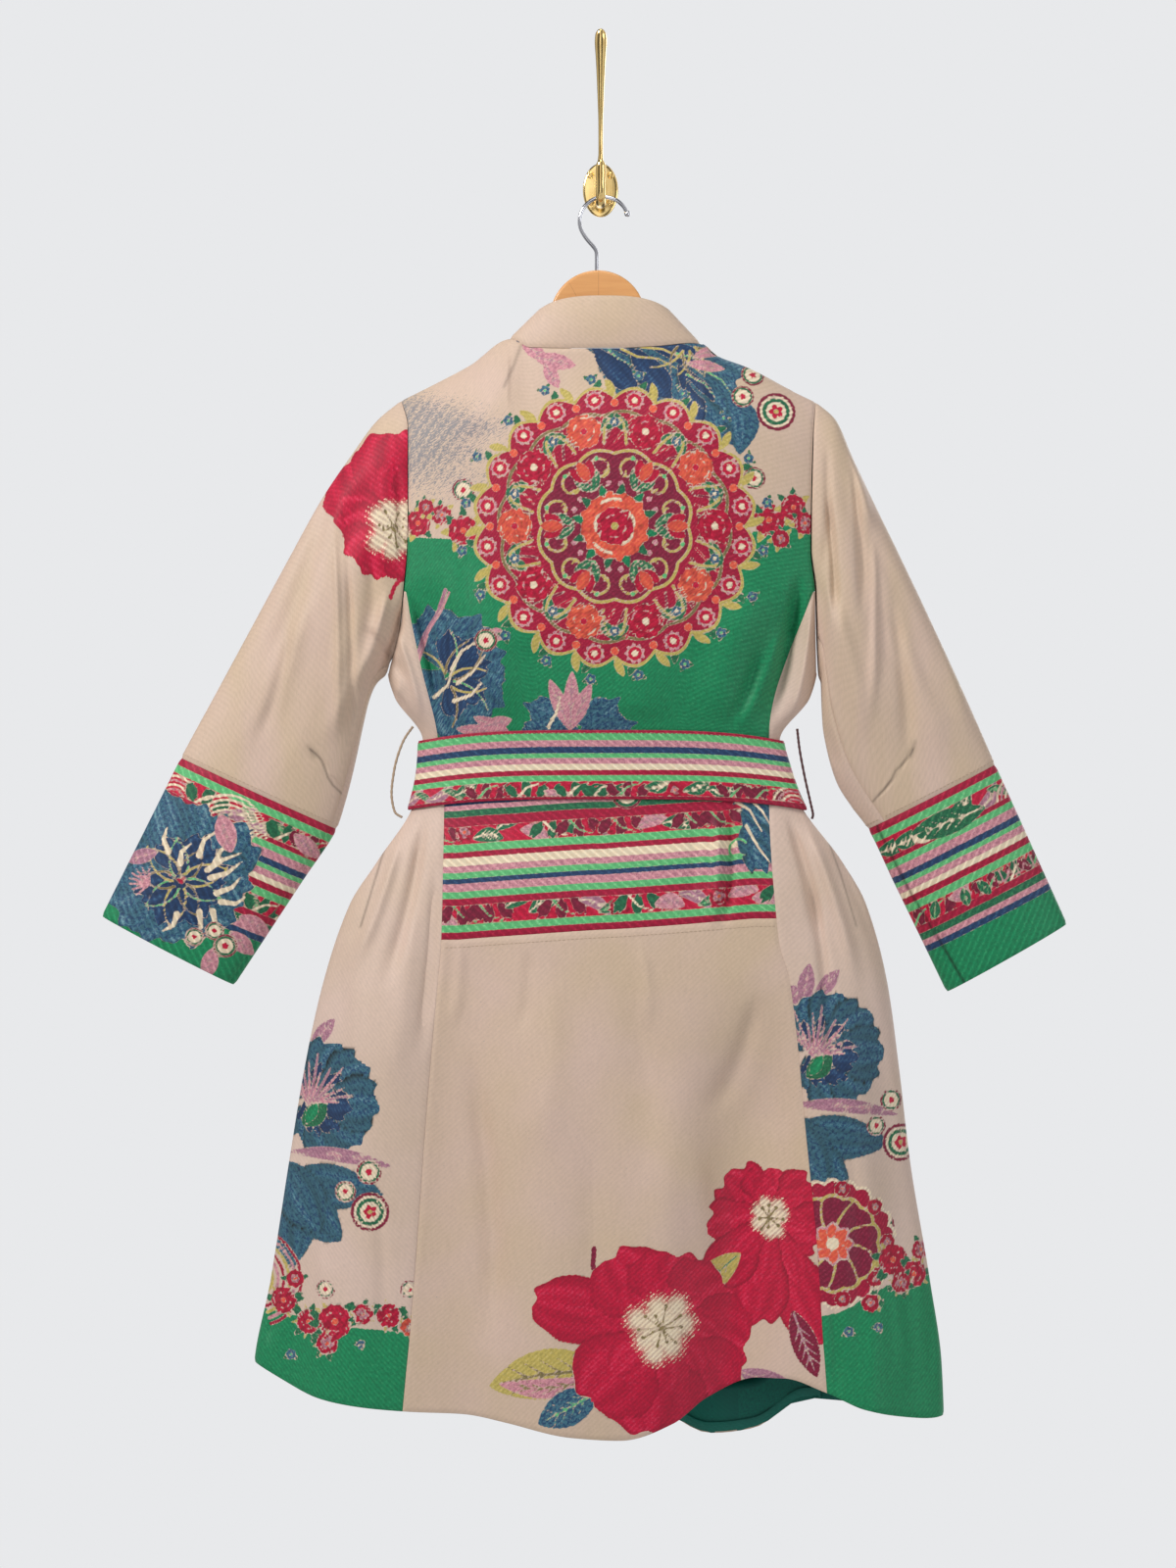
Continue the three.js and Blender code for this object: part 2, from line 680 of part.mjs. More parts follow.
// The belt: one band round the waist, outside the panels, with its ends lapped at the front.
const beltStart = -178;
const beltTurn = 372;
const beltSteps = 60;
const beltRise = { from: 152, over: 14 };
add("belt", "stripe", wall(beltSteps + 1, 3, (i, j) => {
  const share = i / beltSteps;
  const angle = beltStart + beltTurn * share;
  const dip = 9 * Math.abs(Math.sin(angle * rad)) ** 3;
  const z = -491 - dip - (beltWidth / 2) * j;
  const normal = bodyNormal(angle, z).setZ(0).normalize();
  const lap = smooth((angle - beltRise.from) / beltRise.over) * (clothThickness + layerGap);
  const spread = beltLift * (1 + Math.abs(Math.sin(angle * rad)) ** 6);
  const point = bodyPoint(angle, z).addScaledVector(normal, spread + clothThickness + lap);
  return { point, normal };
}));

function tube(points, steps, wide, deep) {
  const path = new THREE.CatmullRomCurve3(points, false, "centripetal");
  const shape = new THREE.Shape();
  const corners = 8;
  for (let k = 0; k < corners; k += 1) {
    const turn = ((2 * Math.PI) / corners) * (k + 0.5);
    const [x, y] = [Math.cos(turn) * wide, Math.sin(turn) * deep];
    if (k === 0) shape.moveTo(x, y);
    else shape.lineTo(x, y);
  }
  return new THREE.ExtrudeGeometry(shape, { steps, bevelEnabled: false, extrudePath: path });
}

// Thin thread loops on the side seams, which stand off the belt.
const loopY = -47;
const loopPlaces = {
  left: table("x z", [
    [-168.4, -487],
    [-177, -500],
    [-185, -525],
    [-187.6, -547],
    [-184.4, -564],
    [-178, -568.6],
  ]),
  right: table("x z", [
    [176.2, -489],
    [178, -505],
    [184, -530],
    [190, -552],
    [193, -566],
    [190.6, -570],
  ]),
};
for (const side of sides) {
  const points = loopPlaces[side].map(({ x, z }) => new THREE.Vector3(x, loopY, z));
  add(`belt_loop_${side}`, "thread", tube(points, 14, 1.1, 1.6));
}

// The teal facing inside the right front's hem, which hangs below the back there.
const facing = { from: 70, to: 200, height: 44, thickness: 1.2, columns: 9 };
add("front_facing", "teal", wall(facing.columns, 3, (i, j) => {
  const x = mix(facing.from, facing.to, i / (facing.columns - 1));
  const hem = lowerZ(lowerRows.length - 1, angleAt(x, -1090, "front"));
  const z = hem + 1.5 + (facing.height / 2) * j;
  const angle = angleAt(x, z, "front");
  const normal = bodyNormal(angle, z);
  const inside = clothThickness + layerGap;
  return { point: bodyPoint(angle, z).addScaledVector(normal, -inside), normal };
}, facing.thickness));

// Wooden hanger: a flat board with a round hump and two arms under the shoulder lines.
const hump = { x: -2.5, z: -120, radius: 43 };
const hangerTop = table("x z", [
  [-168, -194.6],
  [-148, -184.2],
  [-117, -167.2],
  [-86, -147.5],
  [-73, -142],
  [-44, -115],
]);
const hangerTopRight = table("x z", [
  [46, -115],
  [79, -145.5],
  [92, -152.6],
  [102.5, -159.2],
  [131.8, -171.6],
  [165, -190],
  [172, -194.6],
]);
const hangerUnder = table("x z", [
  [175, -203],
  [150, -198],
  [100, -180],
  [55, -158],
  [20, -146],
  [-25, -146],
  [-60, -158],
  [-100, -180],
  [-145, -198],
  [-172, -205],
]);
const bevel = 3;
const board = new THREE.Shape();
hangerTop.forEach(({ x, z }, k) => (k === 0 ? board.moveTo(x, z) : board.lineTo(x, z)));
for (let turn = 166; turn >= 14; turn -= 8) {
  board.lineTo(hump.x + hump.radius * Math.cos(turn * rad), hump.z + hump.radius * Math.sin(turn * rad));
}
hangerTopRight.forEach(({ x, z }) => board.lineTo(x, z));
hangerUnder.forEach(({ x, z }) => board.lineTo(x, z));
const boardGeometry = new THREE.ExtrudeGeometry(board, {
  depth: hangerThickness - 2 * bevel,
  bevelThickness: bevel,
  bevelSize: bevel,
  bevelOffset: -bevel,
  bevelSegments: 2,
});
boardGeometry.rotateX(Math.PI / 2);
boardGeometry.translate(0, hangerY + hangerThickness / 2 - bevel, 0);
const stem = { x: -3.5, bottom: -92, top: -58 };
const bore = new THREE.CylinderGeometry(wireRadius + 0.35, wireRadius + 0.35, 40, 12);
bore.rotateX(Math.PI / 2);
bore.translate(stem.x, hangerY, stem.bottom - 0.6 + 20);
add("hanger_wood", "wood", fromManifold(toManifold(boardGeometry).subtract(toManifold(bore))));

// Wire hook: a straight stem, a slanted shoulder and a round crook that hangs on the prong.
const wirePoints = [
  [stem.x, stem.bottom],
  [stem.x, -80],
  [stem.x, -68],
  [stem.x, -60.5],
  [-5, -57],
  [-10.5, -51],
  [-15.5, -45.5],
];
for (let turn = 200; turn >= 18; turn -= 13) {
  wirePoints.push([
    crook.x + crook.radius * Math.cos(turn * rad),
    crook.z + crook.radius * Math.sin(turn * rad),
  ]);
}
const wirePath = wirePoints.map(([x, z]) => new THREE.Vector3(x, hangerY, z));
add("hanger_wire", "chrome", tube(wirePath, 46, wireRadius, wireRadius));

// Wall hook: an oval plate cast in one with a long upper arm and a J-shaped lower prong.
const plateRings = table("y z wide deep", [
  [0, 0, plate.halfWidth, plate.halfHeight],
  [-2.3, 0, plate.halfWidth, plate.halfHeight],
  [-plate.thickness, 0, plate.halfWidth - 1.3, plate.halfHeight - 1.3],
]);
const armRings = table("y z wide deep", [
  [-1.5, 13, 4.6, 5],
  [-8, 17.5, 4.2, 4.6],
  [-13, 24, 2.9, 3.6],
  [-17, 33, 2, 2.7],
  [-25, 56, 2.1, 2.6],
  [-36, 82, 3, 3],
  [-48, 107, 4.2, 3.7],
  [-57, 125, 5.4, 4.3],
  [-60.5, 131.5, 4.8, 3.8],
  [-62.4, 135.4, 2.2, 1.8],
]);
const prongRings = table("y z wide deep", [
  [-1.5, -6, 4.7, 6],
  [-10, -12.4, 4.7, 4],
  [-20, -16.2, 4.5, 3.3],
  [-28, -16.7, 4.4, 3.3],
  [-36.5, -16.3, 4.3, 3.3],
  [-43.5, -13.2, 4.3, 3.3],
  [-48, -7.6, 4.2, 3.3],
  [-51, 0, 4.1, 3.3],
  [-52.8, 8, 4.5, 3.5],
  [-54, 14.6, 4.4, 3.5],
  [-54.8, 18.4, 3.1, 2.6],
  [-55.2, 20.4, 1.2, 1.1],
]);
const screws = table("name x z", [
  ["upper_left", -9, 13.4],
  ["upper_right", 9, 13.4],
  ["lower_left", -8.6, -11],
  ["lower_right", 8.6, -11],
]);
const disc = (radius, depth, x, y, z, corners) => {
  const geometry = new THREE.CylinderGeometry(radius, radius, depth, corners);
  geometry.translate(x, y, z);
  return geometry;
};
const screwSeat = screw.depth - plate.thickness - 0.2;
let hook = toManifold(loft(plateRings, 32));
hook = hook.add(toManifold(loft(armRings, 12))).add(toManifold(loft(prongRings, 12)));
for (const { x, z } of screws) {
  hook = hook.subtract(toManifold(disc(screw.recess, 4, x, screwSeat - 2, z, 16)));
}
add("wall_hook", "brass", fromManifold(hook));

for (const { name, x, z } of screws) {
  const face = screwSeat - fitGap - screw.depth;
  let head = toManifold(disc(screw.radius, screw.depth, x, face + screw.depth / 2, z, 16));
  for (const turn of [0, 90]) {
    const slot = new THREE.BoxGeometry(3.6, 1.6, 0.8);
    slot.rotateY((turn + 20) * rad);
    slot.translate(x, face, z);
    head = head.subtract(toManifold(slot));
  }
  add(`screw_${name}`, "brass", fromManifold(head));
}

export default coat;
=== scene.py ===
# A belted coat seen from behind, on a wooden hanger in a brass wall hook.
# Sizes are in millimetres until a mesh is made. The wall is y = 0 and z goes up.
import math
import bpy
import numpy as np
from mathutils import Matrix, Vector


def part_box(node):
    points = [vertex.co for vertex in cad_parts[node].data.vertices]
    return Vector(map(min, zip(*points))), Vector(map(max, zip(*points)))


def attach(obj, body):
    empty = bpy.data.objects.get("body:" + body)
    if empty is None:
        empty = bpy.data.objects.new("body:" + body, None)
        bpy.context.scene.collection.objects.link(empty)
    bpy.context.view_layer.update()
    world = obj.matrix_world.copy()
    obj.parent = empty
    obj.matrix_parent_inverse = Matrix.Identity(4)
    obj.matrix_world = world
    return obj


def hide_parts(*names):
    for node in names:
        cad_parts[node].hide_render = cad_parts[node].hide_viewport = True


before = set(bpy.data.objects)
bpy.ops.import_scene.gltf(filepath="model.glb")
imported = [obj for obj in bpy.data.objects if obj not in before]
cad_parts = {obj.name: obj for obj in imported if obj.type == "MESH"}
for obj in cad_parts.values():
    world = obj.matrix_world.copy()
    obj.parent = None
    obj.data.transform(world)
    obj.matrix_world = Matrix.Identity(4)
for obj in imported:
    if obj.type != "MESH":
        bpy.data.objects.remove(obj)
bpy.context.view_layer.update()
scene = bpy.context.scene
mm = 0.001

# camera, straight on to the coat's back
camera = {"x": -11.4, "y": -4000, "z": -538.6, "frameHeight": 1391, "coatY": -90}
eye = bpy.data.objects.new("camera", bpy.data.cameras.new("camera"))
scene.collection.objects.link(eye)
eye.location = Vector((camera["x"], camera["y"], camera["z"])) * mm
eye.rotation_euler = (math.radians(90), 0, 0)
eye.data.sensor_fit = "VERTICAL"
eye.data.sensor_height = 36
eye.data.lens = 36 * (camera["coatY"] - camera["y"]) / camera["frameHeight"]
scene.camera = eye


def table(columns, rows):
    return dict(zip(columns.split(), np.array(rows, float).T))


def smooth(t):
    t = np.clip(t, 0, 1)
    return t * t * (3 - 2 * t)


def blendTo(a, b, t):
    return a + (b - a) * t


def signedPower(value, power):
    return np.sign(value) * np.abs(value) ** power


def around(x, z, angle, reach):  # a spot at an angle in degrees and a distance from a centre
    return x + math.cos(math.radians(angle)) * reach, z + math.sin(math.radians(angle)) * reach


def along(rows, key, column, at):  # a column's value where the key column is `at`, with no overshoot
    x, y = rows[key], rows[column]
    if x[0] > x[-1]:
        x, y = x[::-1], y[::-1]
    secant = np.diff(y) / np.diff(x)
    before, after = secant[:-1], secant[1:]
    flat = before * after <= 0
    inner = np.where(flat, 0, 2 * before * after / np.where(flat, 1, before + after))
    slope = np.concatenate([secant[:1], inner, secant[-1:]])
    at = np.asarray(at, float)
    i = np.clip(np.searchsorted(x, at) - 1, 0, len(x) - 2)
    step = x[i + 1] - x[i]
    t = np.clip((at - x[i]) / step, 0, 1)
    t2, t3 = t * t, t * t * t
    return (y[i] * (2 * t3 - 3 * t2 + 1) + y[i + 1] * (3 * t2 - 2 * t3)
            + step * (slope[i] * (t3 - 2 * t2 + t) + slope[i + 1] * (t3 - t2)))


# the coat's body: sections, seams, hems and folds
body = table("z left right back front middle", [
    [-100, -200, 214, -56, -6, -34], [-150, -200, 213, -64, -5, -34], [-230, -199, 210, -84, -5, -38],
    [-320, -197, 205, -91, -7, -46], [-390, -194, 200, -91, -8, -48], [-440, -191, 194, -87, -9, -48],
    [-461, -185, 188, -84, -11, -48], [-500, -160, 161, -75, -16, -46], [-521, -161, 166, -74, -16, -46],
    [-556, -168, 179, -77, -15, -47], [-607, -200, 216, -86, -11, -49], [-646, -225, 238, -91, -9, -50],
    [-717, -249, 257, -96, -7, -51], [-790, -265, 267, -99, -7, -52], [-875, -279, 277, -102, -7, -53],
    [-984, -296, 295, -107, -7, -55], [-1055, -310, 305, -110, -7, -56], [-1130, -314, 308, -112, -7, -57]])
backSeam = table("z left right", [
    [-367, -174, 190], [-422, -163, 168], [-491, -147, 151], [-556, -140, 150.5], [-677, -142, 158],
    [-715, -145, 168], [-854, -156, 182], [-953, -163, 191.5], [-1130, -178, 202]])
armhole = table("z left right", [
    [-193, -179.5, 193.6], [-223, -172.5, 190.5], [-288, -172, 188], [-330, -173, 187.5],
    [-367, -175.8, 191.8], [-405, -181.5, 192.6], [-430, -188.5, 193.5], [-440, -191, 194]])
backTop = table("x z", [
    [-179.5, -193.6], [-148, -178], [-117, -161.5], [-82, -138], [-64, -147.5], [-27, -149], [15, -149],
    [50, -147], [90, -142.6], [102.5, -152.6], [131.8, -164], [172.5, -185], [193.6, -195]])
frontNeck = table("x z", [
    [-82, -138], [-75, -142.5], [-62, -166], [-40, -196], [-20, -211], [4, -217], [28, -211], [50, -196],
    [71, -166], [83, -146], [90, -142.6]])
backHem = table("x z", [
    [-312, -1055], [-251, -1082], [-176, -1093], [-122, -1096], [-83, -1103], [-24, -1115], [18, -1118],
    [64, -1104], [95, -1082], [140, -1065], [163, -1065], [200, -1077], [235, -1092], [297, -1103],
    [310, -1102]])
frontHem = table("x z", [
    [-312, -1055], [-176, -1083], [0, -1092], [60, -1108], [98, -1124], [136, -1120], [190, -1092],
    [310, -1102]])
neck = {"left": -82, "right": 90, "middle": 4, "half": 86, "back": 27, "front": 21, "power": 0.72}
cloth = {"thickness": 2, "seamGap": 0.36, "layerGap": 0.8, "ridgeY": -34, "power": 2.3,
         "armholeEnd": -367, "underarm": -440, "hemStart": -984, "hemRow": -1100, "fall": 62, "neckFall": 110,
         "lapWidth": 44, "lapEdge": 24}

# folds of the whole shape, a line with its width and height, below 0 for a trough
folds = {
    "back": [[178, -365, 130, -488, 46, -9], [138, -360, 108, -486, 40, 5], [-168, -352, -118, -486, 44, -6],
             [-128, -330, -96, -486, 36, 4], [-60, -400, -44, -486, 34, -3], [40, -410, 34, -486, 34, 3],
             [-120, -560, -104, -1060, 70, -9], [-190, -600, -236, -1120, 76, 13],
             [-40, -700, -52, -1130, 90, 8], [40, -780, 60, -1130, 70, 9], [145, -700, 112, -1110, 74, -20],
             [205, -640, 250, -1130, 80, 13], [-250, -650, -280, -1130, 40, -7],
             [250, -660, 276, -1130, 36, -8]],
    "front": [[-150, -560, -190, -1120, 90, -16], [-90, -600, -96, -1130, 56, -9],
              [100, -600, 112, -1130, 66, -13], [190, -600, 230, -1130, 80, -16],
              [-130, -260, -90, -470, 60, -7], [130, -260, 100, -470, 60, -7]]}


def foldHeight(rows, x, z):
    height = 0
    for x1, z1, x2, z2, width, high in rows:
        dx, dz = x2 - x1, z2 - z1
        t = ((x - x1) * dx + (z - z1) * dz) / (dx * dx + dz * dz)
        off = np.clip(np.hypot(x - x1 - dx * t, z - z1 - dz * t) / width, 0, 1)
        tail = 1 if dz < -400 else smooth((1 - t) / 0.25)
        height = height + high * np.cos(off * np.pi / 2) ** 2 * smooth(t / 0.35) * tail
    return height


def topOf(isFront, x):
    inNeck = (x > neck["left"]) & (x < neck["right"])
    z = np.where(isFront & inNeck, along(frontNeck, "x", "z", x), along(backTop, "x", "z", x))
    reach = np.maximum(0, 1 - ((x - neck["middle"]) / neck["half"]) ** 2) ** (neck["power"] / 2)
    deep = np.where(isFront, neck["front"], -neck["back"])
    return z, cloth["ridgeY"] + np.where(inNeck, deep * reach, 0), inNeck, reach


# the outside at an angle round the section: 0 is the centre back, -90 the left side
def bodyPoint(angle, z):
    angle, z = np.broadcast_arrays(np.asarray(angle, float), np.asarray(z, float))
    left, right, middle, back, front = (along(body, "z", c, z) for c in "left right middle back front".split())
    sin, cos = np.sin(np.radians(angle)), np.cos(np.radians(angle))
    isFront = cos < 0
    x = (left + right) / 2 + (right - left) / 2 * signedPower(sin, 2 / cloth["power"])
    depth = np.abs(cos) ** (2 / cloth["power"])
    y = middle + (np.where(isFront, front, back) - middle) * depth
    topZ, topY, inNeck, reach = topOf(isFront, x)
    fall = np.where(inNeck, blendTo(cloth["fall"], cloth["neckFall"], reach), cloth["fall"])
    drop = np.clip((topZ - z) / fall, 0, 1)
    rounding = blendTo(0.5, 1, np.where(inNeck, reach, 0))
    y = topY + (y - topY) * (1 - (1 - drop) ** 2) ** rounding
    wave = np.where(isFront, foldHeight(folds["front"], x, z), -foldHeight(folds["back"], x, z))
    return np.stack([x, y + wave * smooth(depth * 1.6) * smooth(drop * 2), z], -1)


def angleAt(x, z, face="back"):
    left, right = along(body, "z", "left", z), along(body, "z", "right", z)
    across = np.clip((x - (left + right) / 2) / ((right - left) / 2), -1, 1)
    back = np.degrees(np.arcsin(signedPower(across, cloth["power"] / 2)))
    return back if face == "back" else np.where(across < 0, -180 - back, 180 - back)


# rows of the body from the shoulder to the hem, 0 to 25, and their heights at the left and right
rowLeft = np.array([-194, -201, -222, -255, -295, -334, -367, -405, -430, -440, -461, -480, -500, -521, -552,
                    -587, -622, -677, -717, -772, -828, -882, -932, -984, -1042, -1100], float)
rowRight = rowLeft.copy()
rowRight[[16, 17, 18, 19]] = [-618, -658, -710, -770]
rows = {"top": 0, "armholeEnd": 6, "underarm": 9, "waist": 13, "band": 17, "hem": 25}


def rowHeight(row, angle):
    index = np.arange(len(rowLeft))
    tilt = 0.5 + 0.5 * np.clip(np.sin(np.radians(angle)) / 0.5, -1, 1)
    return blendTo(np.interp(row, index, rowLeft), np.interp(row, index, rowRight), tilt)


def bodyAt(angle, row):
    z = rowHeight(row, angle)
    isFront = np.cos(np.radians(angle)) < 0
    x = bodyPoint(angle, z)[..., 0]
    # rows above the armhole's end reach up to the shoulder, and rows below the hip down to the hem
    share = (z - cloth["armholeEnd"]) / (rowLeft[0] - cloth["armholeEnd"])
    upper = blendTo(cloth["armholeEnd"], topOf(isFront, x)[0], share)
    side = smooth(np.abs(np.cos(np.radians(angle))) * 4)
    plain = along(backHem, "x", "z", x)
    hem = blendTo(plain, np.where(isFront, along(frontHem, "x", "z", x), plain), side)
    lower = cloth["hemStart"] + (z - cloth["hemStart"]) * (hem - cloth["hemStart"]) / (
        cloth["hemRow"] - cloth["hemStart"])
    z = np.where(z > cloth["armholeEnd"], upper, np.where(z < cloth["hemStart"], lower, z))
    return bodyPoint(angle, z)


def steps(count):  # even shares from 0 to 1, closer together at both ends
    even = np.linspace(0, 1, count)
    ends = np.array([0.0, 0.25, 0.6]) * even[1] * 1.6
    clear = ends[-1] + 0.5 * even[1]
    return np.unique(np.concatenate([ends, even[(even > clear) & (even < 1 - clear)], 1 - ends]))


def panel(edges, across, down, firstRow, lastRow):
    share, row = np.meshgrid(steps(across), firstRow + (lastRow - firstRow) * steps(down), indexing="ij")
    hip = -700.0  # tells which side of the coat an edge is on
    first, last = (edge(rowHeight(row, edge(hip))) for edge in edges)
    return bodyAt(blendTo(first, last, share), row)


sign = {"left": -1, "right": 1}


def seamAngle(side):
    return lambda z: angleAt(np.where(z > cloth["armholeEnd"], along(armhole, "z", side, z),
                                      along(backSeam, "z", side, z)), z)


def sideAngle(side):
    return lambda z: np.where(z <= cloth["underarm"], 90 * sign[side], angleAt(along(armhole, "z", side, z), z))


def frontAngle(x, z, side):
    angle = angleAt(x, z, "front")
    return np.where(angle * sign[side] < 0, angle + 360 * sign[side], angle)


def frontSide(side):
    return lambda z: np.where(z <= cloth["underarm"], 90 * sign[side],
                              frontAngle(along(armhole, "z", side, z), z, side))


def frontEdge(side):
    return lambda z: frontAngle(neck["middle"] - cloth["lapEdge"] * sign[side], z, side)


def normalsOf(points):
    normal = np.cross(np.gradient(points, axis=0), np.gradient(points, axis=1))
    return normal / np.maximum(1e-9, np.linalg.norm(normal, axis=-1, keepdims=True))


def meshObject(name, positions, faces):
    faces = faces.tolist() if isinstance(faces, np.ndarray) else faces
    mesh = bpy.data.meshes.new(name)
    mesh.from_pydata((np.asarray(positions, float).reshape(-1, 3) * mm).tolist(), [], faces)
    mesh.polygons.foreach_set("use_smooth", np.ones(len(faces), bool))
    piece = bpy.data.objects.new(name, mesh)
    scene.collection.objects.link(piece)
    return piece


def gridQuads(across, down):
    i, j = np.meshgrid(np.arange(across - 1), np.arange(down - 1), indexing="ij")
    first = i * down + j
    return np.stack([first, first + down, first + down + 1, first + 1], -1).reshape(-1, 4)


def ringQuads(rings, sides):  # between rings of points, each ring closed
    i, k = np.meshgrid(np.arange(rings - 1), np.arange(sides), indexing="ij")
    first, after = i * sides + k, i * sides + (k + 1) % sides
    return np.stack([first, after, after + sides, first + sides], -1).reshape(-1, 4)


def runOf(points, axis=0):  # the length run along a grid's lines
    lengths = np.cumsum(np.linalg.norm(np.diff(points, axis=axis), axis=-1), axis)
    return np.insert(lengths, 0, 0.0, axis)


def areaOf(points):
    a = points[1:, :-1] - points[:-1, :-1]
    b = points[:-1, 1:] - points[:-1, :-1]
    return float(np.linalg.norm(np.cross(a, b), axis=-1).sum())


rim = {"depths": [0.9, 1.8, 1.9], "sink": 0.9, "softness": 2.2}  # how the cloth turns in at its edges


def padding(flat, turned):  # a grid's lines, with the rim and the turned strip before and after them
    last = len(flat) - 1
    inner = max(1, min(int(np.argmax(flat > turned)), last - 1))
    base = [inner, 0, 0] + list(range(last + 1)) + [last, last, last - inner]
    return np.array(base), np.array(rim["depths"][::-1] + [0.0] * (last + 1) + rim["depths"])


# A cloth piece from its outside grid: the face, a rounded rim, and a strip turned in at its edges.
# The flat place of each point on the cut cloth goes into the UV map.
def clothPiece(name, points, nodes, outward, turned=8, sink=rim["sink"]):
    across, down = points.shape[:2]
    normal = normalsOf(points)
    flip = np.sum(normal * outward(points)) < 0
    if flip:
        normal = -normal
    flatU, flatV = runOf(points, 0), runOf(points, 1)
    nearest = np.minimum(np.minimum(flatU, flatU[-1:] - flatU), np.minimum(flatV, flatV[:, -1:] - flatV))
    flatU = flatU - 0.5 * flatU[-1:]
    face = points - normal * (sink * np.exp(-(nearest / rim["softness"]) ** 2))[..., None]
    baseI, depthI = padding(runOf(points[:, down // 2]), turned)
    baseJ, depthJ = padding(runOf(points[across // 2]), turned)
    pick = np.ix_(baseI, baseJ)
    depth = np.maximum(depthI[:, None], depthJ[None, :])
    quads = gridQuads(len(baseI), len(baseJ))
    piece = meshObject(name, face[pick] - normal[pick] * depth[..., None], quads[:, ::-1] if flip else quads)
    uv = piece.data.uv_layers.new(name="cut")
    corners = np.empty(len(piece.data.loops), int)
    piece.data.loops.foreach_get("vertex_index", corners)
    flat = np.stack([flatU[pick].ravel(), -flatV[pick].ravel()], -1) * mm
    uv.data.foreach_set("uv", flat[corners].ravel())
    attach(piece, "root")
    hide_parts(*nodes)
    width, length = float(flatU[-1].max() - flatU[0].min()), float(flatV[:, -1].max())
    size = [(width + 2 * turned) * mm, (length + 2 * turned) * mm]  # the cut, with its turnings
    area = (areaOf(points) + 2 * turned * (width + length)) * mm * mm
    return piece, {"grid": points, "normal": normal, "pick": pick, "u": flatU, "v": flatV, "face": face, "size": size,
                   "area": min(area, size[0] * size[1])}


def awayFromWall(points):  # outward on the body and the collar, from their middle line
    return points * np.array([1, 1, 0]) - np.array([0, -48, 0])


chartScale = {"square": 0.88, "x": 613, "z": 188}  # squares count right and down from here

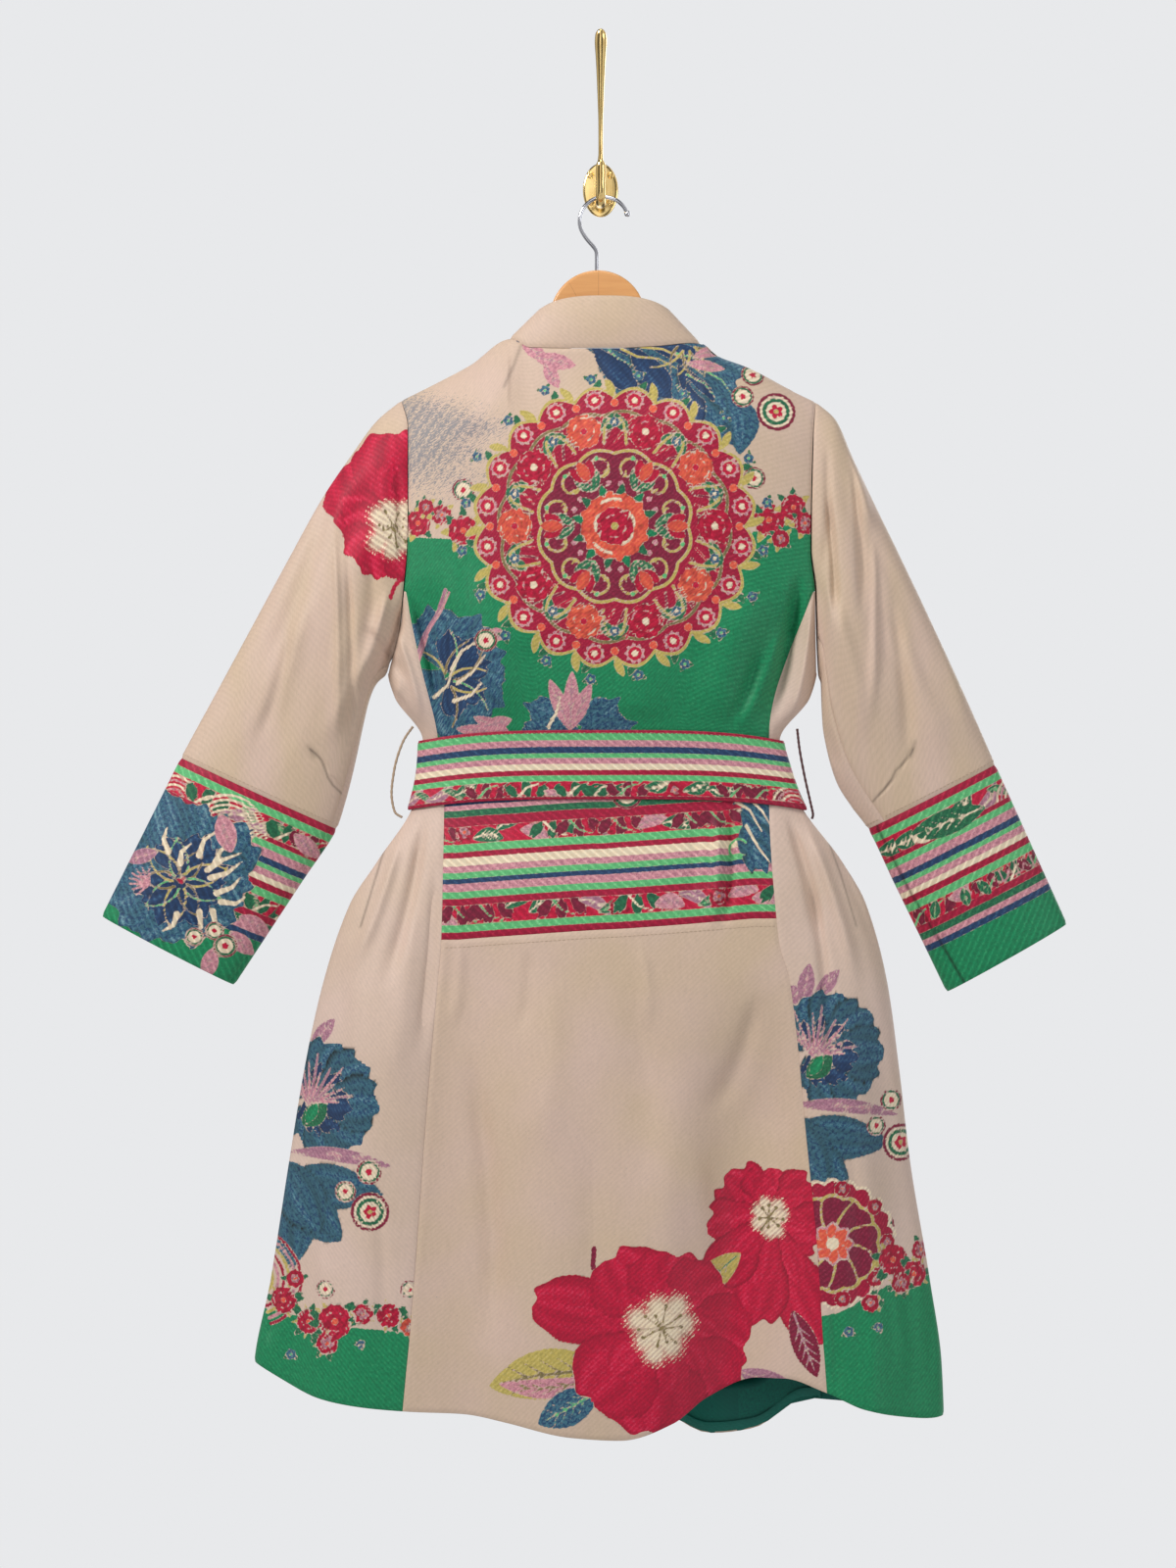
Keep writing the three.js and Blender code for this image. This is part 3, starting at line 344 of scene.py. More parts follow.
# soft creases on the chart's squares: a line, its width and its height in millimetres, below 0 for a trough
creases = {
    "back": [[480, 1064, 506, 1382, 22, -4.6], [772, 1010, 720, 1140, 22, -3], [560, 980, 548, 1180, 30, 1.8],
             [640, 990, 650, 1250, 34, -1.8], [700, 1150, 720, 1390, 30, 2.2], [600, 1150, 590, 1400, 26, -1.5],
             [434, 832, 394, 1010, 13, -5], [410, 850, 360, 990, 12, 4], [446, 880, 430, 1080, 11, -3.4],
             [420, 900, 396, 1120, 22, 1.8], [350, 960, 330, 1200, 24, -2.4], [300, 1180, 286, 1390, 18, 2.6],
             [802, 830, 834, 960, 11, -5], [818, 830, 874, 1010, 12, 4.4], [824, 880, 848, 1120, 11, -4],
             [836, 840, 906, 1000, 12, -2.2], [880, 960, 925, 1230, 26, 2.4], [862, 1150, 872, 1420, 20, -3],
             [814, 585, 782, 746, 15, -8], [828, 610, 806, 744, 9, 4],
             [796, 640, 752, 746, 14, 3], [774, 660, 742, 746, 12, -3],
             [420, 612, 446, 712, 12, -2.4], [500, 600, 512, 742, 26, 1.4],
             [462, 392, 500, 470, 30, -1.4], [700, 640, 690, 742, 30, -1.6],
             [730, 824, 724, 950, 11, 4.6], [744, 820, 738, 948, 8, -4.6], [706, 826, 700, 940, 12, -1.6],
             [520, 830, 516, 950, 30, 1.2],
             [345, 470, 268, 700, 22, -3.6], [392, 610, 330, 764, 16, 3.4], [398, 700, 426, 756, 8, -5.5],
             [412, 612, 386, 700, 10, -6], [398, 600, 366, 704, 11, 4],
             [343, 540, 346, 764, 8, 3], [356, 560, 360, 770, 8, -3],
             [860, 442, 889, 546, 8, 3], [889, 546, 886, 742, 9, 3],
             [868, 470, 878, 640, 8, -3], [906, 600, 926, 790, 13, -3.4],
             [842, 500, 850, 650, 8, -4.5], [930, 560, 990, 760, 15, 2.6], [300, 640, 262, 764, 12, -3],
             [420, 610, 452, 740, 9, -4], [432, 640, 462, 744, 7, 3], [404, 640, 432, 740, 8, 3],
             [380, 560, 372, 690, 16, -3.4], [410, 690, 384, 772, 10, 3], [320, 600, 250, 770, 20, 2.2],
             [372, 640, 418, 700, 9, -3], [850, 470, 906, 700, 22, -2.8], [842, 600, 882, 764, 18, 3],
             [872, 520, 962, 742, 17, -2.2], [832, 730, 852, 790, 9, -4], [900, 640, 965, 780, 20, 2],
             [862, 440, 880, 560, 16, 1.8], [330, 850, 292, 965, 12, -1.8], [160, 880, 210, 950, 18, 1.6],
             [955, 800, 990, 965, 14, -1.8], [404, 470, 412, 600, 9, -2.4], [842, 450, 838, 600, 9, -2.2],
             [470, 952, 462, 1050, 12, 1.6], [540, 960, 530, 1060, 14, -1.5], [652, 955, 660, 1050, 12, 1.4],
             [282, 1296, 276, 1370, 8, -3.2], [268, 1300, 262, 1385, 7, 2.4], [330, 1250, 322, 1392, 18, 1.8],
             [386, 1180, 392, 1400, 14, -1.8], [900, 1260, 918, 1420, 14, 2], [936, 1180, 948, 1430, 12, -2.2],
             [842, 1300, 850, 1420, 10, -2.4], [620, 352, 610, 470, 26, 1.2], [560, 372, 600, 520, 22, -1.3],
             [470, 560, 480, 742, 20, -1.6], [690, 560, 700, 742, 24, 1.3], [742, 540, 748, 640, 18, -1.4],
             [321, 764, 338, 790, 2.6, -0.9], [338, 790, 353, 808, 2.6, -0.9], [928, 762, 914, 790, 2.6, -0.9],
             [914, 790, 890, 817, 2.6, -0.9]],
    "front": [[470, 860, 430, 1100, 26, -3], [760, 860, 800, 1120, 28, -3], [520, 900, 510, 1180, 30, 2.4],
              [700, 900, 716, 1240, 32, -2.4], [640, 1000, 648, 1300, 34, 2], [440, 640, 470, 740, 18, -3],
              [790, 640, 760, 742, 18, -3], [350, 480, 270, 700, 22, -2.6], [390, 600, 330, 764, 18, 3],
              [850, 480, 906, 700, 22, -2.6], [842, 600, 882, 764, 18, 2.6], [480, 420, 520, 520, 30, -1.6]]}
creaseStrength = 1.35


def creased(points):
    x = points[..., 0] / chartScale["square"] + chartScale["x"]
    z = chartScale["z"] - points[..., 2] / chartScale["square"]
    normal = normalsOf(points)
    isBack = smooth((-44 - points[..., 1]) / 8)
    facing = np.clip(np.abs(normal[..., 1]) * 1.3 - 0.15, 0, 1)
    height = {}
    for face, lines in creases.items():
        height[face] = 0 * x
        for x1, z1, x2, z2, width, high in lines:
            dx, dz = x2 - x1, z2 - z1
            t = ((x - x1) * dx + (z - z1) * dz) / (dx * dx + dz * dz)
            bend = width * 0.35 * np.sin(np.clip(t, 0, 1) * np.pi)
            off = ((x - x1 - dx * t) * dz - (z - z1 - dz * t) * dx) / math.hypot(dx, dz) - bend
            ends = smooth((t + 0.02) / 0.3) * smooth((1.02 - t) / 0.35)
            spread = width * (0.7 + 0.5 * np.clip(t, 0, 1))
            height[face] += creaseStrength * high * np.exp(-(off / (spread * 0.55)) ** 2) * ends
    points = points.copy()
    points[..., 1] += facing * (height["front"] * (1 - isBack) - height["back"] * isBack)
    return points


coatPieces = {}


def addCloth(name, points, nodes, material, outward=awayFromWall, held="hung", rests=(), **options):
    if material not in ("collar", "belt", "facing"):
        points = creased(points)
    piece, cut = clothPiece(name, points, nodes, outward, **options)
    coatPieces[name] = (piece, cut, material)
    tuple(round(v, 3) for v in cut["size"])
    return piece, cut


grain = {"bodice": (270, 262), "band": (190, 100), "skirt": (240, 290), "sideBack": (90, 380), "front": (56, 190),
         "sleeveTop": (150, 200), "sleeveUnder": (36, 120), "cuffTop": (150, 92), "cuffUnder": (44, 92),
         "belt": (430, 34), "collar": (210, 28)}
backEdges = [seamAngle("left"), seamAngle("right")]
addCloth("back_bodice_cloth", panel(backEdges, *grain["bodice"], rows["top"], rows["waist"]), ["back_bodice"], "bodice")
addCloth("back_band_cloth", panel(backEdges, *grain["band"], rows["waist"], rows["band"]), ["back_band"], "band")
addCloth("back_skirt_cloth", panel(backEdges, *grain["skirt"], rows["band"], rows["hem"]), ["back_skirt"], "skirt")
for side in ["left", "right"]:
    points = panel([seamAngle(side), sideAngle(side)], *grain["sideBack"], rows["armholeEnd"], rows["hem"])
    addCloth(f"side_back_{side}_cloth", points, [f"side_back_{side}"], "sideBack")
    points = panel([frontSide(side), frontEdge(side)], *grain["front"], rows["top"], rows["hem"])
    if side == "right":  # the right front lies under the left one in the lap
        near = smooth((neck["middle"] + cloth["lapWidth"] - points[..., 0]) / 22)
        points[..., 1] -= near * (cloth["thickness"] + 2 * cloth["layerGap"])
    addCloth(f"front_{side}_cloth", points, [f"front_{side}"], "front")
print("body done")


# sleeves and cuffs, from rings that start on the armhole
sleeveColumns = "ring outerX outerZ innerX innerZ depth y armholeShare"
sleeve = {
    "left": table(sleeveColumns, [
        [0, -179.5, -193.6, -191, -440, 30, -44, 1], [1, -201, -212, -201, -449, 32, -45, 0.72],
        [2, -225, -245, -207, -462, 33, -46, 0.4], [3, -249, -281, -212.5, -484, 33, -47, 0.16],
        [4, -281, -339, -218, -510, 31, -47, 0], [5, -313, -398, -224, -536, 29, -46, 0],
        [6, -345, -457, -230, -558, 27, -45, 0], [7, -376.6, -515, -237, -579, 26, -44, 0],
        [8, -400.4, -562.3, -267.6, -625.7, 25, -43, 0], [9, -424.2, -609.7, -298.3, -672.3, 24, -42, 0],
        [10, -448, -657, -329, -719, 23, -41, 0]]),
    "right": table(sleeveColumns, [
        [0, 193.6, -195, 194, -440, 30, -44, 1], [1, 211, -211, 197.5, -450, 32, -45, 0.72],
        [2, 226, -245, 198, -466, 33, -46, 0.4], [3, 243, -282, 199, -486, 33, -47, 0.16],
        [4, 271, -340, 204, -513, 31, -47, 0], [5, 299, -399, 212, -538, 29, -46, 0],
        [6, 327, -460, 225, -559, 27, -45, 0], [7, 354, -521, 240, -579, 26, -44, 0],
        [8, 375.6, -568.7, 263.5, -627.7, 25, -43, 0], [9, 397, -616, 287, -676, 24, -42, 0],
        [10, 418.7, -664, 310.6, -725, 23, -41, 0]])}
sleeveFolds = {  # turn round the sleeve, ring, spread, length, height
    "left": [[60, 2.2, 24, 1.6, -4], [112, 3.4, 22, 1.5, 3.5], [80, 5.4, 26, 1.8, -3]],
    "right": [[112, 2.6, 22, 1.8, 4], [66, 4.2, 26, 2, -3.5], [90, 6, 24, 1.4, -2.5]]}
sleeveSeams = {"sides": 18, "cuffRing": 7, "endRing": 10, "left": (8, 12), "right": (7, 12)}


def armholeAt(side, step):
    turn = step % sleeveSeams["sides"]
    row = np.minimum(turn, sleeveSeams["sides"] - turn)
    z = np.interp(row, np.arange(10), rowLeft[:10])
    x = along(armhole, "z", side, z)
    angle = np.where(turn <= 9, angleAt(x, z), angleAt(x, z, "front"))
    return bodyAt(np.where(z <= cloth["underarm"], 90 * sign[side], angle), row)


def sleeveOval(side, ring, turn):
    outerX, outerZ, innerX, innerZ, depth, y = (
        along(sleeve[side], "ring", column, ring) for column in "outerX outerZ innerX innerZ depth y".split())
    reach = np.cos(turn)
    return np.stack([(outerX + innerX) / 2 + (outerX - innerX) / 2 * reach,
                     y - depth * signedPower(np.sin(turn), 0.9),
                     (outerZ + innerZ) / 2 + (outerZ - innerZ) / 2 * reach], -1)


def sleeveAt(side, ring, step):
    ring, step = np.broadcast_arrays(np.asarray(ring, float), np.asarray(step, float))
    turn = 2 * np.pi / sleeveSeams["sides"] * step
    own = armholeAt(side, step) - sleeveOval(side, np.zeros_like(ring), turn)
    point = sleeveOval(side, ring, turn) + own * along(sleeve[side], "ring", "armholeShare", ring)[..., None]
    degrees = np.degrees(turn) % 360
    for foldTurn, foldRing, spread, length, height in sleeveFolds[side]:
        off = np.clip(np.hypot((degrees - foldTurn) / spread, (ring - foldRing) / length), 0, 1)
        point[..., 1] -= height * np.cos(off * np.pi / 2) ** 2
    return point


def sleeveGrid(side, firstStep, lastStep, firstRing, lastRing, across, down):
    step, ring = np.meshgrid(blendTo(firstStep, lastStep, steps(across)), blendTo(firstRing, lastRing, steps(down)),
                             indexing="ij")
    points = sleeveAt(side, ring, step)
    points[..., 0] += sign[side] * cloth["seamGap"] * np.clip(1 - ring / 0.2, 0, 1)
    middle = (sleeveOval(side, ring, 0 * ring) + sleeveOval(side, ring, 0 * ring + np.pi)) / 2
    return points, lambda p: p - middle


for side in ["left", "right"]:
    back, front = sleeveSeams[side]
    spans = {"top": (front - sleeveSeams["sides"], back), "under": (back, front)}
    for part, (first, last) in spans.items():
        for kind, rings in {"sleeve": (0, sleeveSeams["cuffRing"]),
                            "cuff": (sleeveSeams["cuffRing"], sleeveSeams["endRing"])}.items():
            points, outward = sleeveGrid(side, first, last, *rings, *grain[kind + part.capitalize()])
            addCloth(f"{kind}_{side}_{part}_cloth", points, [f"{kind}_{side}_{part}"], kind, outward)
print("sleeves done")


def bodyNormal(angle, z):
    normal = np.cross(bodyPoint(angle + 0.4, z) - bodyPoint(angle - 0.4, z),
                      bodyPoint(angle, z + 0.6) - bodyPoint(angle, z - 0.6))
    return normal / np.linalg.norm(normal, axis=-1, keepdims=True)


belt = {"start": -178, "turn": 372, "top": -491, "width": 61, "dip": 9, "lift": 1.1, "lapFrom": 152, "lapOver": 14}


def beltGrid(across, down):
    share, v = np.meshgrid(steps(across), steps(down), indexing="ij")
    angle = belt["start"] + belt["turn"] * share
    sin = np.abs(np.sin(np.radians(angle)))
    z = belt["top"] - belt["dip"] * sin ** 3 - belt["width"] * v
    normal = bodyNormal(angle, z)
    normal[..., 2] = 0
    normal /= np.linalg.norm(normal, axis=-1, keepdims=True)
    lap = smooth((angle - belt["lapFrom"]) / belt["lapOver"]) * (cloth["thickness"] + cloth["layerGap"])
    lift = belt["lift"] * (1 + sin ** 6) + cloth["thickness"] + lap
    return bodyPoint(angle, z) + normal * lift[..., None]


addCloth("belt_cloth", beltGrid(*grain["belt"]), ["belt"], "belt", held="gathered",
         rests=["back_bodice_cloth", "back_band_cloth"], turned=14)

collar = {"left": -53, "right": 59, "back": 22, "front": 15, "zBack": -101, "zSide": -109.5, "zFront": -181}


def collarAt(turn, rise):
    sin, cos = np.sin(np.radians(turn)), np.cos(np.radians(turn))
    isFront = cos < 0
    baseX = neck["middle"] + neck["half"] * sin
    edge = topOf(isFront, np.clip(baseX, neck["left"] + 0.01, neck["right"] - 0.01))[0]
    deep = np.abs(cos) ** neck["power"]
    baseY = cloth["ridgeY"] + np.where(isFront, neck["front"], -neck["back"]) * deep
    topX = (collar["left"] + collar["right"]) / 2 + (collar["right"] - collar["left"]) / 2 * sin
    topY = cloth["ridgeY"] + np.where(isFront, collar["front"], -collar["back"]) * deep
    topZ = blendTo(np.where(isFront, collar["zFront"], collar["zBack"]), collar["zSide"], np.abs(sin) ** 3)
    return np.stack([blendTo(baseX, topX, rise),
                     blendTo(baseY, topY, rise) - 3 * np.sin(rise * np.pi) * np.maximum(0, cos),
                     blendTo(edge + cloth["seamGap"] / 2, topZ, rise)], -1)


turn, rise = np.meshgrid(blendTo(-179.6, 179.6, steps(grain["collar"][0])), steps(grain["collar"][1]), indexing="ij")
addCloth("collar_cloth", collarAt(turn, rise), ["collar"], "collar")

facing = {"from": 70, "to": 200, "height": 44, "raise": 1.5, "hem": -1090}
x, drop = np.meshgrid(blendTo(facing["from"], facing["to"], steps(60)), steps(22), indexing="ij")
hem = bodyAt(angleAt(x, facing["hem"], "front"), rows["hem"])[..., 2]
z = hem + facing["raise"] + facing["height"] * drop
angle = angleAt(x, z, "front")
addCloth("front_facing_cloth", bodyPoint(angle, z) - bodyNormal(angle, z) * (cloth["thickness"] + cloth["layerGap"]),
         ["front_facing"], "facing", sink=0.3)
print("belt and collar done")


# The woven design, charted on squares. Each colour has a field: the distance in squares inside its
# shapes, below 0 outside them.
class Chart:
    def __init__(self, x, z):
        self.shape, self.x, self.z = x.shape, x.ravel(), z.ravel()
        self.fields, self.tone, self.fade = {}, np.zeros(x.size), np.zeros(x.size)

    def near(self, x0, x1, z0, z1, margin=8):
        return np.flatnonzero((self.x > x0 - margin) & (self.x < x1 + margin)
                              & (self.z > z0 - margin) & (self.z < z1 + margin))

    def lay(self, colour, points, distance, tone=0.0):
        if not len(points):
            return
        for other, field in self.fields.items():
            if other != colour:
                field[points] = np.minimum(field[points], -distance)
        field = self.fields.setdefault(colour, np.full(self.x.size, -9.0))
        field[points] = np.clip(np.maximum(field[points], distance), -9, 9)
        self.tone[points] = np.where(distance > 0, tone, self.tone[points])

    def nearPath(self, path, margin):
        return self.near(path[:, 0].min(), path[:, 0].max(), path[:, 1].min(), path[:, 1].max(), margin)

    def fromLine(self, points, start, end):  # shares along a line, and distances from it
        (x1, z1), (x2, z2) = start, end
        dx, dz = x2 - x1, z2 - z1
        t = np.clip(((self.x[points] - x1) * dx + (self.z[points] - z1) * dz) / (dx * dx + dz * dz), 0, 1)
        return t, np.hypot(self.x[points] - x1 - dx * t, self.z[points] - z1 - dz * t)

    def everywhere(self, colour, distance):
        self.lay(colour, np.arange(self.x.size), distance)

    def area(self, colour, top):  # all that lies below a line of points
        self.everywhere(colour, self.z - np.interp(self.x, *np.array(top, float).T))

    def disc(self, colour, x, z, radius, scallops=0, depth=0.0, turn=0.0):
        points = self.near(x - radius, x + radius, z - radius, z + radius)
        dx, dz = self.x[points] - x, self.z[points] - z
        edge = radius
        if scallops:
            edge = radius - depth * (1 - np.abs(np.sin(scallops / 2 * (np.arctan2(dz, dx) + turn))))
        self.lay(colour, points, edge - np.hypot(dx, dz))

    def ring(self, colour, x, z, radius, width, first=None, last=None):
        points = self.near(x - radius, x + radius, z - radius, z + radius)
        dx, dz = self.x[points] - x, self.z[points] - z
        distance = width / 2 - np.abs(np.hypot(dx, dz) - radius)
        if first is not None:  # an arc, between two angles in degrees
            angle = (np.degrees(np.arctan2(dz, dx)) - first) % 360
            span = last - first
            outside = np.where(angle <= span, 0, np.minimum(angle - span, 360 - angle))
            distance = distance - np.radians(outside) * radius
        self.lay(colour, points, distance)

    def stroke(self, colour, path, width, taper=0.0):
        path = np.array(path, float)
        points = self.nearPath(path, width + 8)
        best = np.full(len(points), -9.0)
        length = len(path) - 1
        for k in range(length):
            t, off = self.fromLine(points, path[k], path[k + 1])
            best = np.maximum(best, width / 2 * (1 - taper * (k + t) / length) - off)
        self.lay(colour, points, best)

    def strokes(self, colour, paths, width, taper):
        for path in paths:
            self.stroke(colour, path, width, taper)

    def petal(self, colour, x, z, angle, length, width, full=1.0, ruffle=0.0, bend=0.0, tone=0.0, streaks=0.0,
              rim=0.0, blunt=0.75):
        cos, sin = math.cos(math.radians(angle)), math.sin(math.radians(angle))
        points = self.nearPath(np.array([(x, z), around(x, z, angle, length)]), width / 2 + 8)
        dx, dz = self.x[points] - x, self.z[points] - z
        out, side = dx * cos + dz * sin, dz * cos - dx * sin
        side = side - bend * np.sin(np.clip(out / length, 0, 1) * np.pi)
        wave = side / max(width, 1)
        out = out + ruffle * np.sin(wave * 15 + x) + ruffle * 0.5 * np.sin(wave * 27 + z)
        t = np.clip(out / length, 0, 1)
        half = width / 2 * np.sin(np.pi * t ** full) ** blunt
        distance = (half - np.abs(side)) * 0.85 - np.maximum(np.maximum(-out, out - length), 0)
        share = side / np.maximum(half, 2)
        veins = np.sin(share * 12 + x) * 0.6 + np.sin(share * 4 + z) * 0.5
        shade = tone + streaks * veins * (0.4 + 0.6 * t) - 0.3 * abs(streaks) * (1 - t)
        self.lay(colour, points, distance, shade - rim * np.exp(-np.maximum(distance, 0) / 2.2))

    def petals(self, colour, rows, *shape, **look):
        for row in rows:
            self.petal(colour, *row, *shape, **look)

    # painted shade along a line, for seams, pocket openings and a dart: it darkens the cloth's colour there
    def shadeLine(self, path, width, depth):  # changes only how dark the cloth is
        path = np.array(path, float)
        points = self.nearPath(path, 4 * width + 4)
        best = np.full(len(points), 99.0)
        for start, end in zip(path[:-1], path[1:]):
            best = np.minimum(best, self.fromLine(points, start, end)[1])
        self.tone[points] += depth * np.exp(-(best / width) ** 2)

    def leaf(self, colours, x, z, angle, length, width, bend=0.0, veins=5):
        body, vein = colours
        self.petal(body, x, z, angle, length, width, bend=bend)
        cos, sin = math.cos(math.radians(angle)), math.sin(math.radians(angle))

        def at(t, side):
            side = side + bend * math.sin(math.pi * t)
            return x + cos * length * t - sin * side, z + sin * length * t + cos * side
        self.stroke(vein, [at(t, 0) for t in (0.05, 0.3, 0.6, 0.9)], max(1.6, width * 0.07), 0.6)
        for k in range(1, veins):
            t = 0.12 + 0.7 * k / veins
            for way in (-1, 1):
                self.stroke(vein, [at(t, 0), at(min(0.97, t + 0.16), way * width * 0.3)], max(1.4, width * 0.05), 0.7)

    def leaves(self, colours, rows, veins=3):
        for row in rows:
            self.leaf(colours, *row, veins=veins)

    def rose(self, x, z, radius, turn=0.0, colours=("maroon", "red", "pink", "coral")):
        outline, main, light, heart = colours
        self.disc(outline, x, z, radius, 7, radius * 0.16, turn)
        for count, share, colour, start in [(6, 1.0, main, 0), (5, 0.74, main, 30),
                                            (4, 0.5, light if radius < 12 else main, 10)]:
            reach = radius * share
            angles = [math.degrees(turn) + start + 360 * k / count for k in range(count)]
            self.petals(colour, [(x, z, angle, reach, reach * 1.05) for angle in angles], 2, radius * 0.05,
                        tone=0.5 - share * 0.4, streaks=0.3, rim=1.5, blunt=0.5)
        if radius > 9:
            for k in range(5):
                start = turn * 57 + 72 * k
                self.ring(light, x, z, radius * (0.8 if k % 2 else 0.58), max(1.5, radius * 0.1), start, start + 46)
        self.disc(heart, x, z, radius * 0.2)

    def roundels(self, rows):  # rings round a small plain flower
        small = [("maroon", 1.2), ("darkGreen", 1.02), ("cream", 0.76)]
        large = [("maroon", 1.0), ("cream", 0.82), ("darkGreen", 0.72), ("cream", 0.5)]
        for x, z, radius in rows:
            for colour, share in small if radius < 14 else large:
                self.disc(colour, x, z, radius * share)
            self.disc("red", x, z, radius * 0.4, 5, radius * 0.16)
            if radius > 14:
                self.disc("gold", x, z, radius * 0.12)

    def rays(self, colours, x, z, angles, first, last, width, curl):  # curved lines that spread from a heart
        for k, angle in enumerate(angles):
            path = []
            for t in np.linspace(0, 1, 6):
                turn = math.degrees(curl) * (t - 0.3) * (1 if k % 2 else -1)
                path.append(around(x, z, angle + turn, first + (last + 5 * (k % 3) - first) * t))
            self.stroke(colours[k % len(colours)], path, width, 0.5)

    def dust(self, colour, x, z, radius, spread):  # a disc whose edge breaks up into specks
        points = self.near(x - radius, x + radius, z - radius, z + radius, spread * 2)
        reach = (radius - np.hypot(self.x[points] - x, self.z[points] - z)) / spread
        keep = reach > -1
        self.lay(colour, points[keep], reach[keep])

    # an open flower: broad ruffled petals, a bright heart that breaks up, and stamens with dark ends
    def bloom(self, x, z, petals, heart, stamens, streaks, seed, colours=("red", "cream", "olive")):
        main, glow, dark = colours
        dice = np.random.default_rng(seed)
        for angle, length, width in petals:
            self.petal(main, x, z, angle, length, width * 1.22, 1.9, 3, streaks=streaks, rim=1.1, blunt=0.5)
            self.petal(main, x, z, angle, min(length * 0.66, 70), width * 0.7, 1.6, 3, tone=0.15, streaks=streaks,
                       rim=0.4)
        for k in range(7):
            angle, reach = 2 * math.pi / 7 * k + dice.uniform(-0.3, 0.3), heart * dice.uniform(0.75, 1.1)
            self.dust(glow, x + math.cos(angle) * reach, z + math.sin(angle) * reach, heart * 0.3, heart * 0.45)
        self.dust(glow, x, z, heart * 0.8, heart * 0.5)
        for k in range(stamens):
            angle, reach = math.radians(360 / stamens * k + dice.uniform(-12, 12)), heart * dice.uniform(0.5, 0.95)
            end = (x + math.cos(angle) * reach, z + math.sin(angle) * reach)
            self.stroke(dark, [(x, z), end], 1.5)
            self.disc(dark, *end, 1.9)

    def bud(self, x, z, size, turn=0):  # small blue bud with two leaves
        self.petals("darkGreen", [(x, z, turn + 150, size, size * 0.5), (x, z, turn + 30, size, size * 0.5)])
        self.disc("blue", x, z, size * 0.62, 5, size * 0.16)
        self.disc("lightGreen", x, z, size * 0.2)


def flowerStrip(chart, left, right, top, bottom, seed):  # small flowers and leaves for the wide stripes
    dice = np.random.default_rng(seed)
    middle, half = (top + bottom) / 2, (bottom - top) / 2
    x = left
    kinds = ["leaf", "dark", "scroll", "rose", "deep", "pink", "leaf", "dark", "curls", "deep"]
    while x < right:
        kind = kinds[int(dice.integers(len(kinds)))]
        lift = dice.uniform(-4, 4)
        if kind in ("leaf", "pink"):
            colours = ("darkGreen", "cream") if kind == "leaf" else ("pink", "mauve")
            chart.leaf(colours, x, middle + lift, dice.uniform(-35, 35), 32, half * 1.7, 4)
            x += 24
        elif kind == "rose":
            chart.rose(x + half, middle + lift, half * 1.05, dice.uniform(0, 6))
            x += half * 1.9
        elif kind == "scroll":
            chart.leaf(("mauve", "cream"), x, bottom - 2, -28, 38, half * 1.3, 5)
            chart.leaf(("darkGreen", "lightGreen"), x + 20, top + 3, 35, 26, half, -3)
            x += 32
        elif kind in ("dark", "deep"):
            for k in range(3):
                chart.petal("maroon" if kind == "dark" else "darkGreen", x + 9 * k, bottom + 2, -125 + 38 * k,
                            half * 2.4, half * 1.3, 1.4, 2, streaks=0.6, rim=1)
            chart.stroke("lightGreen" if kind == "dark" else "cream",
                         [(x, bottom), (x + 10, middle - 2), (x + 24, top + 2)], 2.4, 0.4)
            x += 26
        else:
            for k in range(4):
                chart.ring("cream" if k % 2 else "pink", x + 18, bottom + 9, 13 + 4.5 * k, 2, 200, 330)
            x += 40


stripeColours = {
    "belt": (69.3, [("crimson", 0), ("lightGreen", 2.5), ("pink", 10), ("navy", 16.5), ("lightGreen", 23), ("pink", 28),
                    ("cream", 34), ("crimson", 40), ("lightGreen", 45.5), ("red", 51.5), ("crimson", 67.3)]),
    "band": (160, [("crimson", 0), ("lightGreen", 7), ("red", 14.5), ("crimson", 34), ("lightGreen", 41), ("pink", 48),
                   ("navy", 56), ("lightGreen", 61), ("pink", 67.4), ("cream", 74), ("crimson", 82),
                   ("lightGreen", 88), ("red", 96), ("crimson", 114), ("darkGreen", 124), ("pink", 131),
                   ("navy", 136), ("green", 141)]),
    "cuff": (180, [("crimson", 0), ("lightGreen", 7.5), ("red", 15.5), ("crimson", 35), ("lightGreen", 40),
                   ("pink", 47), ("navy", 55.5), ("lightGreen", 62), ("pink", 67), ("cream", 74), ("crimson", 79.5),
                   ("lightGreen", 86.5), ("red", 94.5), ("crimson", 111.5), ("darkGreen", 119), ("pink", 126.5),
                   ("navy", 132.5), ("green", 139)])}


def blueFan(chart, rows, inner, outer):  # blue petals, each with a navy one in it
    for x, z, angle, length, width in rows:
        chart.petal("blue", x, z, angle, length, width * outer["wide"], *outer["shape"], **outer["look"])
        chart.petal("navy", x, z, angle + inner["turn"], length * inner["long"], width * inner["wide"], *inner["shape"],
                    **inner["look"])


